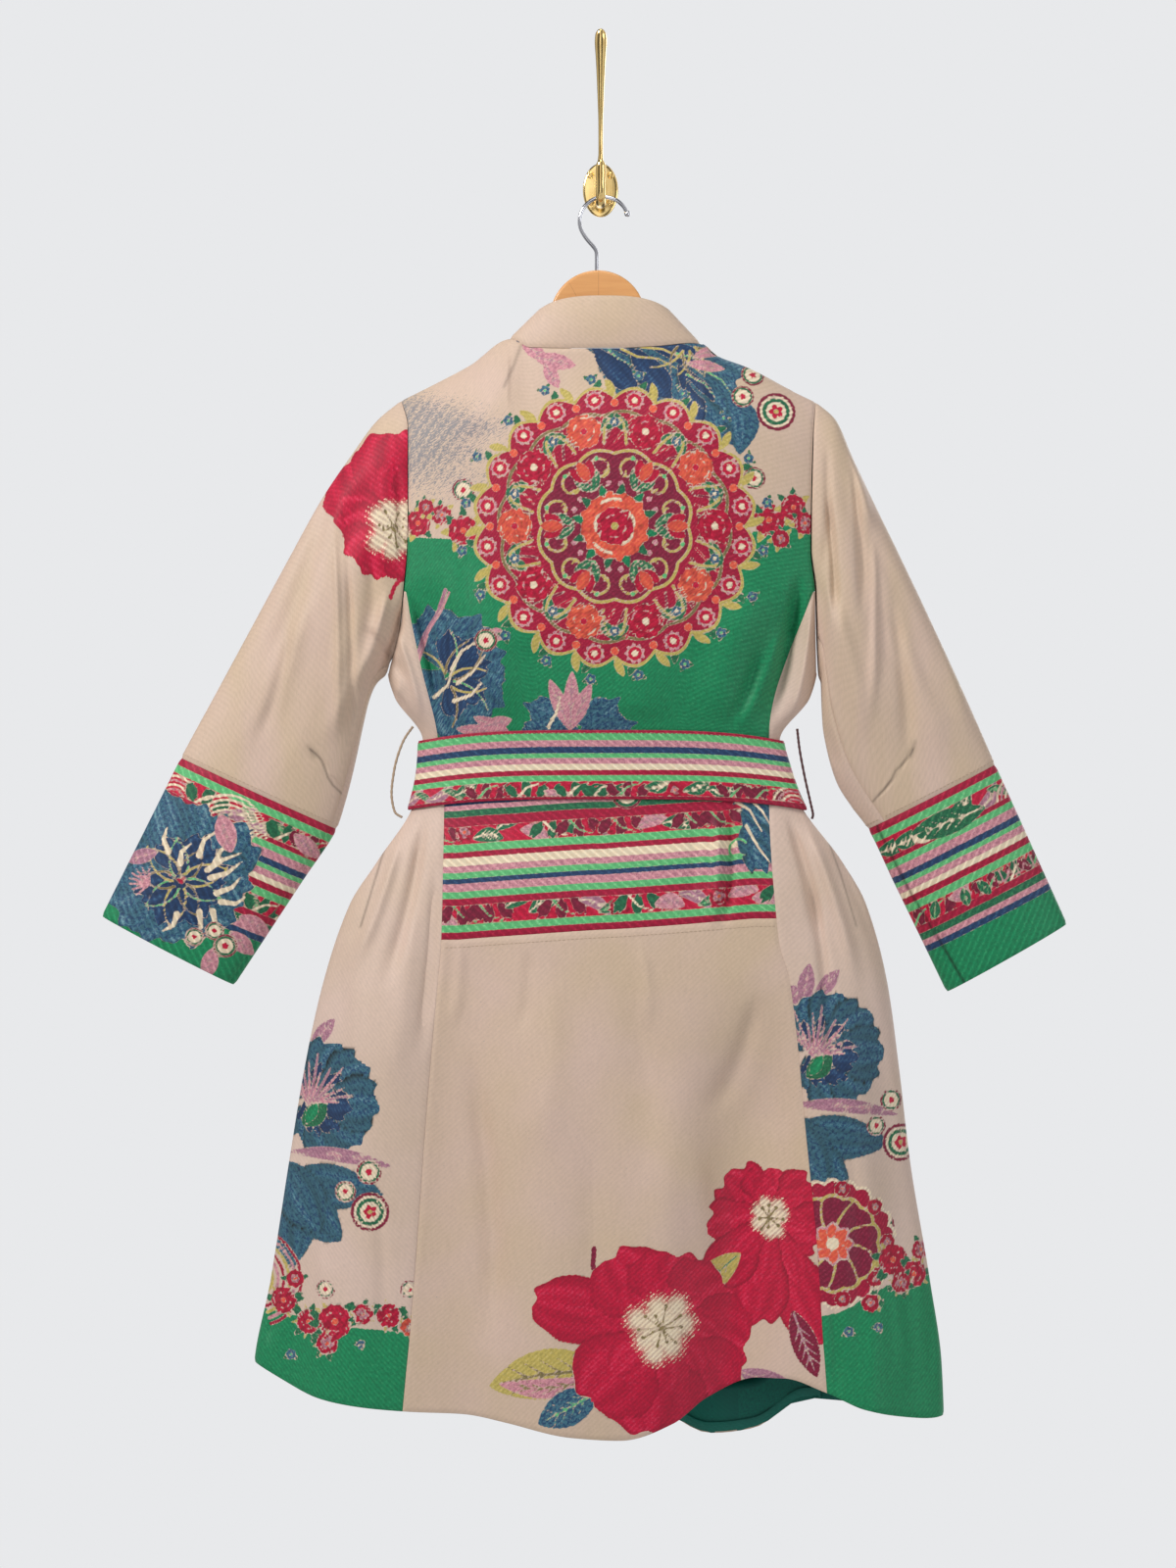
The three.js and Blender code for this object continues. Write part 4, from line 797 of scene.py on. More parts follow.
def paintBodice(chart):
    chart.area("green", [(400, 549), (470, 553), (560, 560), (700, 556), (790, 541), (840, 522)])
    x, z = chart.x, chart.z
    ragged = 585 + 14 * np.sin(z * 0.09) + 9 * np.sin(z * 0.23 + 1)  # the edge of the stippled shade
    chart.fade = 0.8 * smooth((ragged - x) / 150) * smooth((z - 372 - 0.25 * (x - 420)) / 50) * smooth((552 - z) / 90)
    blueFan(chart, [(592, 350, 14, 130, 60), (660, 350, 20, 104, 60), (600, 352, 40, 120, 52), (640, 352, 48, 120, 62),
                    (690, 372, 52, 104, 58), (700, 392, 72, 78, 54)],
            {"turn": 5, "long": 0.6, "wide": 0.5, "shape": (1.5, 2), "look": {"streaks": 0.7, "rim": 0.8}},
            {"wide": 1, "shape": (1.7, 3), "look": {"streaks": 0.9, "rim": 1.6, "blunt": 0.5}})
    chart.petal("blue", 742, 402, 80, 66, 32, bend=-10, streaks=0.8, rim=1.2)
    for path in [[(634, 358), (650, 366), (672, 368), (690, 378)], [(654, 356), (676, 358), (698, 368), (716, 384)],
                 [(690, 362), (712, 368), (728, 380)], [(700, 384), (718, 394), (730, 410)],
                 [(716, 378), (736, 390), (748, 408)], [(618, 356), (630, 368), (648, 376)],
                 [(690, 396), (704, 410), (720, 424)]]:
        chart.stroke("gold" if len(path) > 3 else "lightGreen", path, 2.6, 0.6)
    chart.rays(("olive", "gold"), 700, 350, range(20, 141, 20), 10, 36, 2.4, 0.6)
    chart.leaves(("pink", "mauve"), [(532, 348, 40, 34, 15), (545, 366, 12, 44, 17), (556, 372, 62, 30, 14),
                                     (706, 366, -22, 46, 13), (700, 372, 8, 40, 12)])
    chart.petal("navy", 528, 350, -62, 20, 11)
    chart.roundels([(768, 383, 10), (757, 407, 9.5), (791, 422, 20), (474, 503, 9.5), (768, 491, 9.5)])
    for x0, z0, radius in [(428, 536, 13), (452, 528, 10), (474, 544, 15), (436, 520, 8), (783, 533, 16),
                           (808, 520, 13), (820, 536, 11), (795, 552, 9)]:
        for angle in (35, 100, 160, 205, 255, 310):
            chart.petal("darkGreen" if angle % 2 else "gold", x0, z0, angle + radius, radius * 1.6, radius * 0.6)
        chart.rose(x0, z0, radius, x0, ("crimson", "red", "pink", "coral"))
    blueMass(chart, 458, 690)
    chart.roundels([(497, 655, 9.5)])
    chart.petals("blue", [(590, 748, angle, length, width) for angle, length, width in
                          [(-150, 60, 34), (178, 62, 32), (-38, 52, 34), (-8, 58, 30)]], 1.2, 3, streaks=0.7)
    chart.leaves(("pink", "mauve"), [(582, 746, angle, length, 15) for angle, length in
                                     [(-112, 56), (-66, 52), (-88, 60)]])
    chart.stroke("cream", [(560, 742), (568, 728), (572, 712)], 3, 0.6)
    medallion(chart, 627, 540)


def blueMass(chart, x, z):  # the half-seen blue flower at the bodice's edge
    chart.petals("blue", [(x, z, angle, length, width * 1.1) for angle, length, width in
                          [(-105, 70, 46), (-60, 66, 50), (-20, 60, 48), (30, 62, 50), (75, 66, 52), (150, 60, 60)]],
                 1.7, 3, streaks=0.8, rim=1.5, blunt=0.6)
    chart.petals("navy", [(x, z, angle, 44, 26) for angle in (-88, -54, -16, 34, 78)], 1.7, 2, streaks=0.8, rim=0.8)
    chart.rays(("gold", "olive", "lightGreen"), x - 2, z + 6, (-108, -84, -60, -38, -14, 10, 34, 58), 8, 42, 2.4, 0.6)
    paths = [[(-14, 22), (0, 10), (6, -10)], [(4, -6), (14, -24), (30, -34)], [(10, 8), (26, -4), (38, -20)],
             [(6, 26), (24, 20), (34, 8)]]
    chart.strokes("cream", [[(x + dx, z + dz) for dx, dz in path] for path in paths], 3.6, 0.7)
    chart.stroke("mauve", [(x - 34, z - 6), (x - 24, z - 40), (x - 10, z - 62), (x - 2, z - 86)], 5, 0.3)
    chart.stroke("pink", [(x - 30, z - 14), (x - 20, z - 44), (x - 6, z - 66), (x + 2, z - 84)], 3.4, 0.5)
    chart.leaves(("pink", "mauve"), [(x + dx, z + dz, angle, length, 13) for dx, dz, angle, length in
                                     [(26, 42, 24, 40), (8, 54, 6, 46), (36, 52, -14, 30), (44, -46, 40, 16)]])


# a round wreath: scalloped edge, roses, tulips and a rose in the middle
def medallion(chart, x, z):
    at = lambda angle, reach: around(x, z, angle, reach)
    green = ("darkGreen", "lightGreen")
    for k in range(20):
        chart.bud(*at(18 * k + 9, 152 + 4 * (k % 2)), 9, 18 * k - 81)
    for k in range(40):  # leaves that break up the edge
        chart.petal("darkGreen" if k % 2 else "gold", *at(9 * k, 134), 9 * k + (28 if k % 2 else -28), 20, 8)
    chart.disc("gold", x, z, 144, 20, 11)
    chart.disc("crimson", x, z, 141, 20, 11)
    for k in range(20):  # a frill of small fans, each with a bright eye
        centre = at(18 * k + 9, 130)
        chart.disc("pink", *centre, 10.5, 9, 3)
        chart.disc("red", *centre, 7)
        chart.disc("cream", *centre, 3)
        chart.disc("coral", *at(18 * k, 126), 4)
    chart.disc("olive", x, z, 119, 16, 5, 0.1)
    chart.disc("crimson", x, z, 116, 16, 5, 0.1)
    for k in range(48):  # trellis behind the roses
        chart.stroke("maroon" if k % 2 else "red", [at(7.5 * k, 84), at(7.5 * k + 9, 114)], 2.4)
    for k in range(10):
        angle = 36 * k
        for way in (-1, 1):
            chart.leaf(green, *at(angle + way * 9, 97), angle + way * 62, 27, 12, veins=2)
            chart.stroke("gold", [at(angle + way * (10 + 8 * t), 84 + 26 * math.sin(t * 2.4))
                                  for t in np.linspace(0, 1, 7)], 2.6, 0.3)
        colours = [("maroon", "red", "pink", "cream"), ("crimson", "coral", "cream", "red")][k % 2]
        chart.rose(*at(angle, 101), 17.5, k, colours)
    for k in range(10):
        chart.disc("blue", *at(36 * k + 18, 106), 5.5, 5, 1.6)
        chart.disc("cream", *at(36 * k + 18, 106), 1.8)
    chart.disc("gold", x, z, 80, 12, 5)
    chart.disc("maroon", x, z, 77, 12, 5)
    for k in range(12):
        angle = 30 * k + 15
        for way in (-1, 1):  # gold scrolls back to back
            chart.stroke("gold", [around(*at(angle, 58), angle + way * (4 + 250 * t), 13 * (1 - 0.7 * t))
                                  for t in np.linspace(0, 1, 12)], 2.6, 0.4)
        chart.disc("lightGreen", *at(angle, 71), 2.6)
    for angle in range(0, 360, 60):  # tulips between the scrolls
        chart.leaves(green, [(*at(angle, 40), angle + turn, 24, 9) for turn in (-34, 34)], 2)
        for turn, colour in [(-30, "red"), (30, "red"), (0, "coral")]:
            chart.petal(colour, *at(angle, 52), angle + turn, 23, 12, streaks=0.4, rim=0.8)
        for turn in (22, 38):
            chart.disc("pink", *at(angle + turn, 44), 3)
    for k in range(12):
        chart.petal("darkGreen" if k % 2 else "green", x, z, 30 * k + 11, 45, 13, rim=0.8)
    chart.rose(x, z, 34, 0.4, ("maroon", "coral", "cream", "red"))
    chart.rose(x, z, 19, 1.3, ("crimson", "red", "pink", "gold"))


def paintSkirt(chart):
    chart.stroke("maroon", [(606, 1266), (605, 1284), (611, 1298), (622, 1316)], 5)
    chart.stroke("maroon", [(746, 1194), (745, 1212), (752, 1232), (762, 1250)], 4.5)
    chart.leaf(("gold", "olive"), 622, 1388, 172, 122, 50, 6)
    chart.leaf(("pink", "olive"), 606, 1396, 176, 96, 20, -6)
    chart.leaf(("blue", "lightGreen"), 612, 1408, 152, 70, 36)
    chart.leaf(("mauve", "pink"), 752, 1392, 20, 66, 24)
    chart.bloom(783, 1238, [(-135, 60, 50), (-88, 48, 50), (-34, 58, 50), (14, 56, 46), (66, 134, 50), (100, 108, 54),
                            (168, 62, 50), (132, 84, 44)], 15, 8, 0.4, 3)
    chart.leaf(("maroon", "mauve"), 806, 1330, 70, 70, 26)
    chart.leaf(("gold", "green"), 754, 1274, 142, 66, 28)
    chart.leaf(("blue", "lightGreen"), 742, 1312, 108, 40, 18)
    chart.bloom(674, 1345, [(-168, 132, 56), (-126, 88, 70), (-80, 76, 74), (-34, 78, 76), (14, 90, 78), (56, 100, 84),
                            (96, 108, 90), (134, 104, 78)], 25, 10, 0.4, 2)


def paintSleeve(chart):  # the left one only
    chart.stroke("red", [(400, 612), (404, 600), (413, 590)], 4)
    chart.bloom(404, 540, [(-128, 84, 74), (-92, 98, 70), (-160, 60, 46), (178, 50, 46), (140, 54, 52), (96, 52, 56),
                           (60, 54, 50), (-50, 76, 60), (20, 60, 60)], 21, 9, 0.6, 7)


def sideFlowers(chart, x, z):  # a flower whose petals fan out from one side, mauve leaves and blue ones
    chart.leaves(("mauve", "pink"), [(x - 34, z - 38, -80, 44, 17), (x - 22, z - 44, -50, 40, 15),
                                     (x - 30, z - 30, -118, 34, 14)])
    chart.petals("blue", [(x - 46, z + 74, 86, 104, 58), (x - 50, z + 86, 8, 106, 44), (x - 50, z + 92, 42, 84, 48),
                          (x - 52, z + 70, 60, 84, 54)], 1.0, 0.8, tone=-0.5, streaks=1.0, rim=1.6, blunt=0.85)
    heart, base = x - 22, z + 8
    blueFan(chart, [(heart, base, *row) for row in [(-128, 46, 40), (92, 40, 40), (-96, 54, 46), (64, 56, 46),
                                                    (-64, 62, 48), (34, 66, 50), (-32, 68, 50), (2, 70, 52)]],
            {"turn": 6, "long": 0.62, "wide": 0.6, "shape": (1.9, 3),
             "look": {"streaks": 0.7, "rim": 0.9, "blunt": 0.6}},
            {"wide": 1.15, "shape": (2.2, 2.6), "look": {"tone": -0.5, "streaks": 1.0, "rim": 1.7, "blunt": 0.42}})
    for k in range(13):
        end = around(heart, base, 12 * k - 140, 30 + 9 * (k % 3))
        bend = (heart + (end[0] - heart) * 0.6, base + (end[1] - base) * 0.5)
        chart.stroke("mauve" if k % 2 else "pink", [(heart, base + 6), bend, end], 3.4, 0.5)
    chart.petal("darkGreen", heart - 8, z + 34, -40, 34, 22, streaks=0.6)
    chart.petal("green", heart - 4, z + 32, -60, 24, 12, streaks=0.6)
    chart.leaf(("mauve", "pink"), x - 46, z + 62, 6, 112, 14, -6, veins=3)


def borderRow(chart, places, seed):
    dice = np.random.default_rng(seed)
    roses = [("crimson", "red", "pink", "coral"), ("maroon", "coral", "pink", "cream")]
    for x, z, radius in places:
        for angle in dice.uniform(0, 360, 4):
            chart.petal("darkGreen", x, z, angle, radius * 1.7, radius * 0.6)
            chart.petal("gold", x, z, angle + 40, radius * 1.5, radius * 0.3)
        chart.rose(x, z, radius, x, roses[x % 2])


def paintSideLeft(chart):
    chart.area("green", [(230, 1326), (300, 1336), (350, 1344), (430, 1352)])
    sideFlowers(chart, 340, 1112)
    chart.roundels([(380, 1190, 10.5), (356, 1210, 9), (381, 1230, 19.5), (336, 1308, 8), (421, 1308, 8)])
    for k in range(7):  # a pink and green scroll at the side seam
        chart.ring(["crimson", "gold", "pink"][k % 3], 262, 1302, 12 + 6 * k, 3, -70, 70)
    borderRow(chart, [(292, 1322, 13), (318, 1342, 12), (346, 1340, 17), (374, 1332, 10), (400, 1334, 12),
                      (421, 1346, 9), (304, 1300, 9), (338, 1362, 11)], 4)
    chart.bud(300, 1376, 9)
    chart.bud(372, 1362, 8, 40)


def paintSideRight(chart):
    chart.area("green", [(780, 1344), (850, 1332), (900, 1306), (930, 1296), (980, 1292)])
    sideFlowers(chart, 850, 1062)
    chart.roundels([(907, 1120, 9.5), (891, 1145, 8.5), (917, 1163, 19), (897, 1245, 10.5)])
    x, z = 846, 1262  # half of a smaller wreath, cut by the seam
    for colour, radius, scallops, depth in [("cream", 66, 22, 5), ("crimson", 63, 22, 5), ("gold", 50, 14, 3),
                                            ("maroon", 47, 14, 3)]:
        chart.disc(colour, x, z, radius, scallops, depth)
    for k in range(9):
        chart.rose(*around(x, z, 40 * k, 56), 8, k)
        chart.stroke("gold", [around(x, z, 40 * k + math.degrees(t * 0.25), 16 + 26 * t) for t in (0, 0.4, 0.8, 1.2)],
                     2.6, 0.4)
    for k in range(8):  # a small flower in its middle
        chart.petal("pink", x, z, 45 * k, 22, 14.3, 1.3)
        chart.petal("coral", x, z, 45 * k, 19.8, 10.725, 1.3)
    chart.disc("cream", x, z, 6.6)
    borderRow(chart, [(908, 1280, 15), (930, 1296, 13), (938, 1272, 10), (884, 1322, 9), (916, 1304, 10)], 6)
    chart.bud(862, 1350, 9)
    chart.bud(892, 1346, 8, 30)


print("chart ready")


def linear(*rgb):
    return tuple(((c / 255 + 0.055) / 1.055) ** 2.4 if c > 10.3 else c / 255 / 12.92 for c in rgb) + (1.0,)


class Value:  # wraps a socket, so that shader maths reads as an expression
    def __init__(self, finish, socket):
        self.finish, self.socket = finish, socket

    def maths(self, operation, first, second=None, clamp=False):
        sockets = {0: first} if second is None else {0: first, 1: second}
        return self.finish.node("Math", {"operation": operation, "use_clamp": clamp}, sockets)

    def __add__(self, other): return self.maths("ADD", self, other)
    def __radd__(self, other): return self.maths("ADD", other, self)
    def __sub__(self, other): return self.maths("SUBTRACT", self, other)
    def __rsub__(self, other): return self.maths("SUBTRACT", other, self)
    def __mul__(self, other): return self.maths("MULTIPLY", self, other)
    def __rmul__(self, other): return self.maths("MULTIPLY", other, self)
    def clamped(self): return self.maths("ADD", self, 0.0, True)
    def sine(self): return self.maths("SINE", self)
    def size(self): return self.maths("ABSOLUTE", self)
    def power(self, exponent): return self.maths("POWER", self, exponent)


class Finish:
    def __init__(self, name, **constants):
        self.material = bpy.data.materials.new(name)
        self.material.use_nodes = True
        self.tree = self.material.node_tree
        self.shader = self.tree.nodes["Principled BSDF"]
        for socket, value in constants.items():
            self.shader.inputs[socket.replace("_", " ")].default_value = value

    def node(self, kind, settings=None, sockets=None, output=0):
        made = self.tree.nodes.new("ShaderNode" + kind)
        for key, value in (settings or {}).items():
            if key == "stops":
                while len(made.color_ramp.elements) < len(value):
                    made.color_ramp.elements.new(0.5)
                for element, (place, colour) in zip(made.color_ramp.elements, value):
                    element.position, element.color = place, colour
            else:
                setattr(made, key, value)
        for key, value in (sockets or {}).items():
            if isinstance(value, Value):
                self.tree.links.new(value.socket, made.inputs[key])
            else:
                made.inputs[key].default_value = value
        return Value(self, made.outputs[output])

    def mixed(self, factor, first, second):
        return self.node("Mix", {"data_type": "RGBA"}, {0: factor, 6: first, 7: second}, 2)

    def brightened(self, colour, factor):
        return self.node("VectorMath", {"operation": "SCALE"}, {0: colour, "Scale": factor})

    def attribute(self, name):
        return self.node("Attribute", {"attribute_name": name}, output=2)

    def noise(self, place, scale, detail=2.0, roughness=0.5):  # a row of scales stretches it
        if not isinstance(scale, (int, float)):
            place, scale = self.node("VectorMath", {"operation": "MULTIPLY"}, {0: place, 1: scale[:3]}), scale[3]
        return self.node("TexNoise", None, {"Vector": place, "Scale": scale, "Detail": detail, "Roughness": roughness})

    def cutPlace(self):  # the place on the flat cloth, in millimetres
        uv = self.node("UVMap", {"uv_map": "cut"})
        return self.node("VectorMath", {"operation": "SCALE"}, {0: uv, "Scale": 1000.0})

    def parts(self, vector):
        split = self.node("SeparateXYZ", None, {0: vector})
        outputs = split.socket.node.outputs
        return Value(self, outputs[0]), Value(self, outputs[1]), Value(self, outputs[2])

    def done(self, colour, roughness=None, height=None, depth=0.0004, strength=0.5):
        self.tree.links.new(colour.socket, self.shader.inputs["Base Color"])
        if roughness is not None:
            self.tree.links.new(roughness.socket, self.shader.inputs["Roughness"])
        if height is not None:
            bump = self.node("Bump", None, {"Height": height, "Strength": strength, "Distance": depth})
            self.tree.links.new(bump.socket, self.shader.inputs["Normal"])
        return self.material


yarns = {  # each yarn's colour, the one that flecks it, how much, and the tint of its light parts
    "green": ((12, 130, 82), (10, 94, 60), 0.5, (60, 160, 104)),
    "lightGreen": ((96, 184, 116), (56, 146, 88), 0.4, (160, 214, 160)),
    "darkGreen": ((22, 88, 60), (40, 124, 78), 0.5, (90, 150, 96)),
    "pink": ((206, 142, 150), (146, 84, 106), 0.6, (228, 188, 184)),
    "navy": ((28, 58, 96), (20, 40, 72), 0.5, (70, 112, 138)),
    "blue": ((30, 66, 100), (66, 116, 130), 0.8, (122, 160, 158)),
    "crimson": ((160, 6, 50), (112, 6, 40), 0.4, (206, 60, 84)),
    "red": ((190, 4, 52), (150, 2, 44), 0.6, (206, 64, 94)),
    "maroon": ((112, 16, 46), (142, 22, 58), 0.5, (160, 60, 84)),
    "cream": ((228, 212, 182), (210, 182, 148), 0.5, (240, 228, 204)),
    "coral": ((220, 92, 62), (200, 50, 60), 0.5, (236, 150, 110)),
    "gold": ((190, 170, 88), (144, 134, 72), 0.5, (214, 200, 140)),
    "olive": ((104, 92, 60), (150, 132, 80), 0.5, (170, 150, 100)),
    "mauve": ((148, 100, 120), (190, 136, 148), 0.5, (206, 168, 172))}
grounds = {"beige": ((203, 177, 160), (198, 174, 148)), "pale": ((208, 183, 168), (202, 178, 158)),
           "lining": ((0, 112, 94), (0, 92, 80))}
weave = {"pitch": {"bodice": 3.2, "belt": 5.6, "band": 5.6, "cuff": 5.6, "other": 3.4}, "angle": 40,
         "wide": 4, "grain": 0.3, "stipple": (92, 106, 122)}  # pitches past wide have ribs


# A twill line, grains and slubs over the flat cloth. The charted yarns are laid on the ground one after another.
def wovenCloth(name, colours, ground="beige", lean=1, pitch=2.8, relief=1.0):
    finish = Finish(name, Sheen_Weight=0.13, Sheen_Roughness=0.45, Specular_IOR_Level=0.34)
    place = finish.cutPlace()
    u, v = finish.parts(place)[:2]
    angle, turn, wide = math.radians(weave["angle"]), 2 * math.pi / pitch, pitch > weave["wide"]
    line = (u * (math.sin(angle) * turn * lean) + v * (math.cos(angle) * turn)).sine() * 0.5 + 0.5
    speckle = finish.noise(place, 0.62, 4, 0.8)
    slubs = finish.noise(place, (0.5, 0.12, 1, 0.5))
    cloud = finish.noise(place, 0.012, 2, 0.4)
    grains = finish.noise(place, weave["grain"], 4, 0.75)
    specks = finish.noise(place, 0.36, 4, 0.75)
    # tone lightens or darkens the cloth: the design's own light and dark parts, and also the painted shade along seams,
    # pocket openings and a dart
    tone = finish.attribute("tone")
    wobble = (grains - 0.5) * (1.4 if wide else 2.8) + (line - 0.5) * (0.2 if wide else 0.5)
    lightShare = ((tone + (specks - 0.5) * 5 + (line - 0.5) * 0.5) * 1.1 - 0.15).clamped() * 0.52
    flecks = ((grains - 0.5) * 11 + 0.35 - tone * 0.7).clamped()
    colour = finish.mixed(((cloud - 0.5) * 3 + 0.5).clamped(), *(linear(*c) for c in grounds[ground]))
    fade = finish.attribute("fade")
    covered = fade * 0.0
    for yarn in colours:
        main, fleck, share, light = yarns[yarn]
        mask = ((finish.attribute(yarn) + (wobble * 2.2 if yarn == "cream" else wobble)) * 1.6 + 0.5).clamped()
        worked = finish.mixed(flecks * share, linear(*main), linear(*fleck))
        colour = finish.mixed(mask, colour, finish.mixed(lightShare, worked, linear(*light)))
        covered = covered + mask
    covered = covered.clamped()
    if ground == "beige":  # the stippled shade at the left of the upper back
        dashes = finish.noise(place, (0.34, 0.8, 1, 1), 3, 0.7)
        hatch = (u * 0.34 - v * 0.42).sine()
        stipple = ((fade * (1 + hatch * 0.16) + (dashes - 0.5) * 3.4 - 0.55) * 4).clamped() * 0.72
        colour = finish.mixed(stipple * (1 - covered), colour, linear(*weave["stipple"]))
    ribs = (line.power(3.0) - 0.35) * 0.26 * covered if wide else (line - 0.5) * (covered * 0.08 + 0.05)
    colour = finish.brightened(colour, 1 + tone * 0.34 + ribs + (slubs - 0.5) * 0.1 + (grains - 0.5) * 0.3)
    rough = 0.54 + speckle * 0.14 - line * 0.05
    return finish.done(colour, rough, line * (covered * 0.5 + 0.12) + speckle * 0.5, 0.0005 * relief, 0.3)


def setAttributes(name, chart):
    piece, cut, _ = coatPieces[name]
    used = [yarn for yarn in yarns if yarn in chart.fields and chart.fields[yarn].max() > 0]
    values = {yarn: chart.fields[yarn] for yarn in used}
    values.update(tone=chart.tone, fade=chart.fade)
    for key, value in values.items():
        attribute = piece.data.attributes.new(key, "FLOAT", "POINT")
        spread = value.reshape(chart.shape)[cut["pick"]]
        if key in yarns:
            spread = spread * chartScale["square"]
        attribute.data.foreach_set("value", np.ascontiguousarray(spread.ravel(), dtype=np.float32))
    return used


def chartOf(cut, backOnly=False):
    points = cut["grid"]
    x = points[..., 0] / chartScale["square"] + chartScale["x"]
    if backOnly:
        x = np.where(cut["normal"][..., 1] < 0.05, x, -999)
    return Chart(x, chartScale["z"] - points[..., 2] / chartScale["square"])


def paintStripes(chart, layout, left, right, seed):
    total, stripes = layout
    starts = [start for _, start in stripes] + [total + 60]
    wide = [colour == "red" and starts[k + 1] - starts[k] > 12 for k, (colour, _) in enumerate(stripes)]
    for k, (colour, start) in enumerate(stripes):
        if wide[k]:
            chart.everywhere(colour, np.minimum(chart.z - start, starts[k + 1] - chart.z))
            flowerStrip(chart, left, right, start, starts[k + 1], seed + k)
    for k, (colour, start) in enumerate(stripes):  # these cut off what passes the wide stripes' edges
        if not wide[k]:
            upper = chart.z - start if start > 0 else np.full(chart.x.size, 9.0)
            chart.everywhere(colour, np.minimum(upper, starts[k + 1] - chart.z))


def cuffChart(side, cut):  # x runs across the cuff and z down it
    ring = {k: sleeve[side][k][sleeveSeams["cuffRing"]] for k in ("outerX", "outerZ", "innerX", "innerZ")}
    dx, dz = ring["innerX"] - ring["outerX"], ring["innerZ"] - ring["outerZ"]
    points = cut["grid"]
    across = (points[..., 0] - ring["outerX"]) * dx + (points[..., 2] - ring["outerZ"]) * dz
    across = across / math.hypot(dx, dz) * (-1 if side == "right" else 1)
    return Chart(across / chartScale["square"], cut["v"] / chartScale["square"])


def paintLeftCuff(chart):
    chart.petals("blue", [(x, z, angle, length, width * 1.1) for x, z, angle, length, width in
                          [(46, 112, -100, 78, 62), (56, 110, -60, 84, 62), (60, 108, -22, 62, 54),
                           (60, 112, 14, 60, 56), (56, 112, 60, 66, 60), (46, 112, 104, 72, 64), (40, 112, 150, 70, 70),
                           (40, 108, -150, 66, 70), (40, 108, -128, 82, 60)]], 1.8, 4, streaks=0.8, rim=1.5, blunt=0.6)
    chart.petals("navy", [(54, 112, *row) for row in [(-84, 52, 34), (-40, 50, 34), (4, 44, 34), (46, 48, 36),
                                                      (92, 50, 38), (140, 48, 36), (-138, 46, 34)]],
                 1.6, 3, streaks=0.9, rim=0.9)
    chart.rays(("olive", "lightGreen", "gold"), 54, 114, range(-170, 190, 20), 8, 40, 2.5, 0.8)
    chart.strokes("cream", [
        [(74, 92), (84, 76), (98, 62)], [(80, 98), (94, 86), (102, 70)], [(92, 110), (104, 98), (108, 84)],
        [(78, 84), (78, 68), (88, 54)], [(60, 82), (58, 66), (66, 52)], [(96, 128), (106, 142), (108, 154)],
        [(84, 134), (92, 148), (90, 162)], [(64, 146), (66, 158), (58, 168)], [(46, 98), (42, 86), (48, 74)],
        [(100, 116), (114, 112), (120, 102)], [(30, 92), (20, 82), (18, 70)]], 6, 0.75)
    chart.leaf(("mauve", "pink"), 20, 96, 140, 36, 15, veins=3)
    for k in range(8):
        angle = math.radians(110 + 20 * k)
        chart.stroke("pink", [(26, 130), (26 + math.cos(angle) * 22, 130 + math.sin(angle) * 16)], 2.6, 0.3)
    chart.leaves(("pink", "mauve"), [(62, 34, 50, 42, 22), (138, 22, 20, 36, 17)], 5)
    for k in range(4):
        chart.ring("cream", 76, 52, 26 + 5 * k, 2, 215, 340)
    chart.leaves(("pink", "mauve"), [(122, 122, 6, 34, 17), (120, 140, 24, 34, 17), (112, 162, 80, 34, 17)])
    chart.roundels([(106, 146, 8), (90, 160, 8), (122, 156, 10)])


def paintBandEnd(chart):
    chart.petals("blue", [(748, 836, -20, 48, 34), (752, 842, 16, 46, 40), (756, 850, 62, 50, 40),
                          (766, 868, 74, 42, 34)], 1.7, 3, streaks=0.9, rim=1.5, blunt=0.6)
    chart.strokes("cream", [[(750, 836), (764, 846), (776, 868)], [(762, 832), (776, 846), (786, 862)],
                            [(760, 862), (772, 884), (784, 900)]], 3.2, 0.6)
    chart.ring("lightGreen", 752, 884, 9, 2.6, 140, 330)
    chart.roundels([(640, 820, 13)])


def paintRightCuff(chart):
    chart.leaf(("darkGreen", "cream"), -30, 33, 185, 86, 26)
    chart.petals("cream", [(-112, 32 - 3 * k, 20 + 12 * k, 18, 3) for k in range(4)])
    chart.leaves(("darkGreen", "lightGreen"), [(-88, 96, 100, 20, 11), (-72, 96, 70, 20, 11),
                                               (-128, 112, -60, 20, 11)], 2)
    for x in (-48, -30, -12):
        chart.ring("pink", x, 101, 8, 1.5, 0, 180)
        chart.stroke("pink", [(x, 96), (x, 108)], 1.4)
    for k in range(3):
        chart.stroke("pink", [(-20 + 5 * k, 30 - 6 * (k % 2)), (-15 + 5 * k, 24 + 6 * (k % 2))], 1.4)


painters = {"back_bodice_cloth": paintBodice, "back_skirt_cloth": paintSkirt, "side_back_left_cloth": paintSideLeft,
            "side_back_right_cloth": paintSideRight, "sleeve_left_top_cloth": paintSleeve}
# painted shade along the right cuff's seam
cuffSeamShade = ([(888, 832), (925, 905), (983, 1003)], 1.3, -1.8)  # path, width, depth
# painted shade along the seams above the cuffs, the pocket openings at the sides and a dart at the back neck
seamShades = {
    "sleeve_left_top_cloth": [
        ([(319, 765), (325, 770), (330, 776), (333, 784), (336, 793), (341, 801), (351, 811)], 1.2, -1.4),
        ([(317, 762), (322, 772)], 3, -0.7)],
    "sleeve_right_top_cloth": [
        ([(930, 764), (927, 771), (920, 778), (912, 786), (907, 796), (900, 806), (889, 818)], 1.2, -1.4),
        ([(931, 758), (927, 770)], 3, -0.7)],
    "side_back_left_cloth": [([(394, 862), (386, 890), (370, 944)], 1.2, -1.3)],
    "side_back_right_cloth": [([(846, 862), (856, 890), (872, 944)], 1.2, -1.0)],
    "back_bodice_cloth": [([(532, 353), (524, 376), (515, 397)], 1.7, -1.0)]}
stripeSeeds = {"belt": 11, "band": 23, "left": 31, "right": 47}


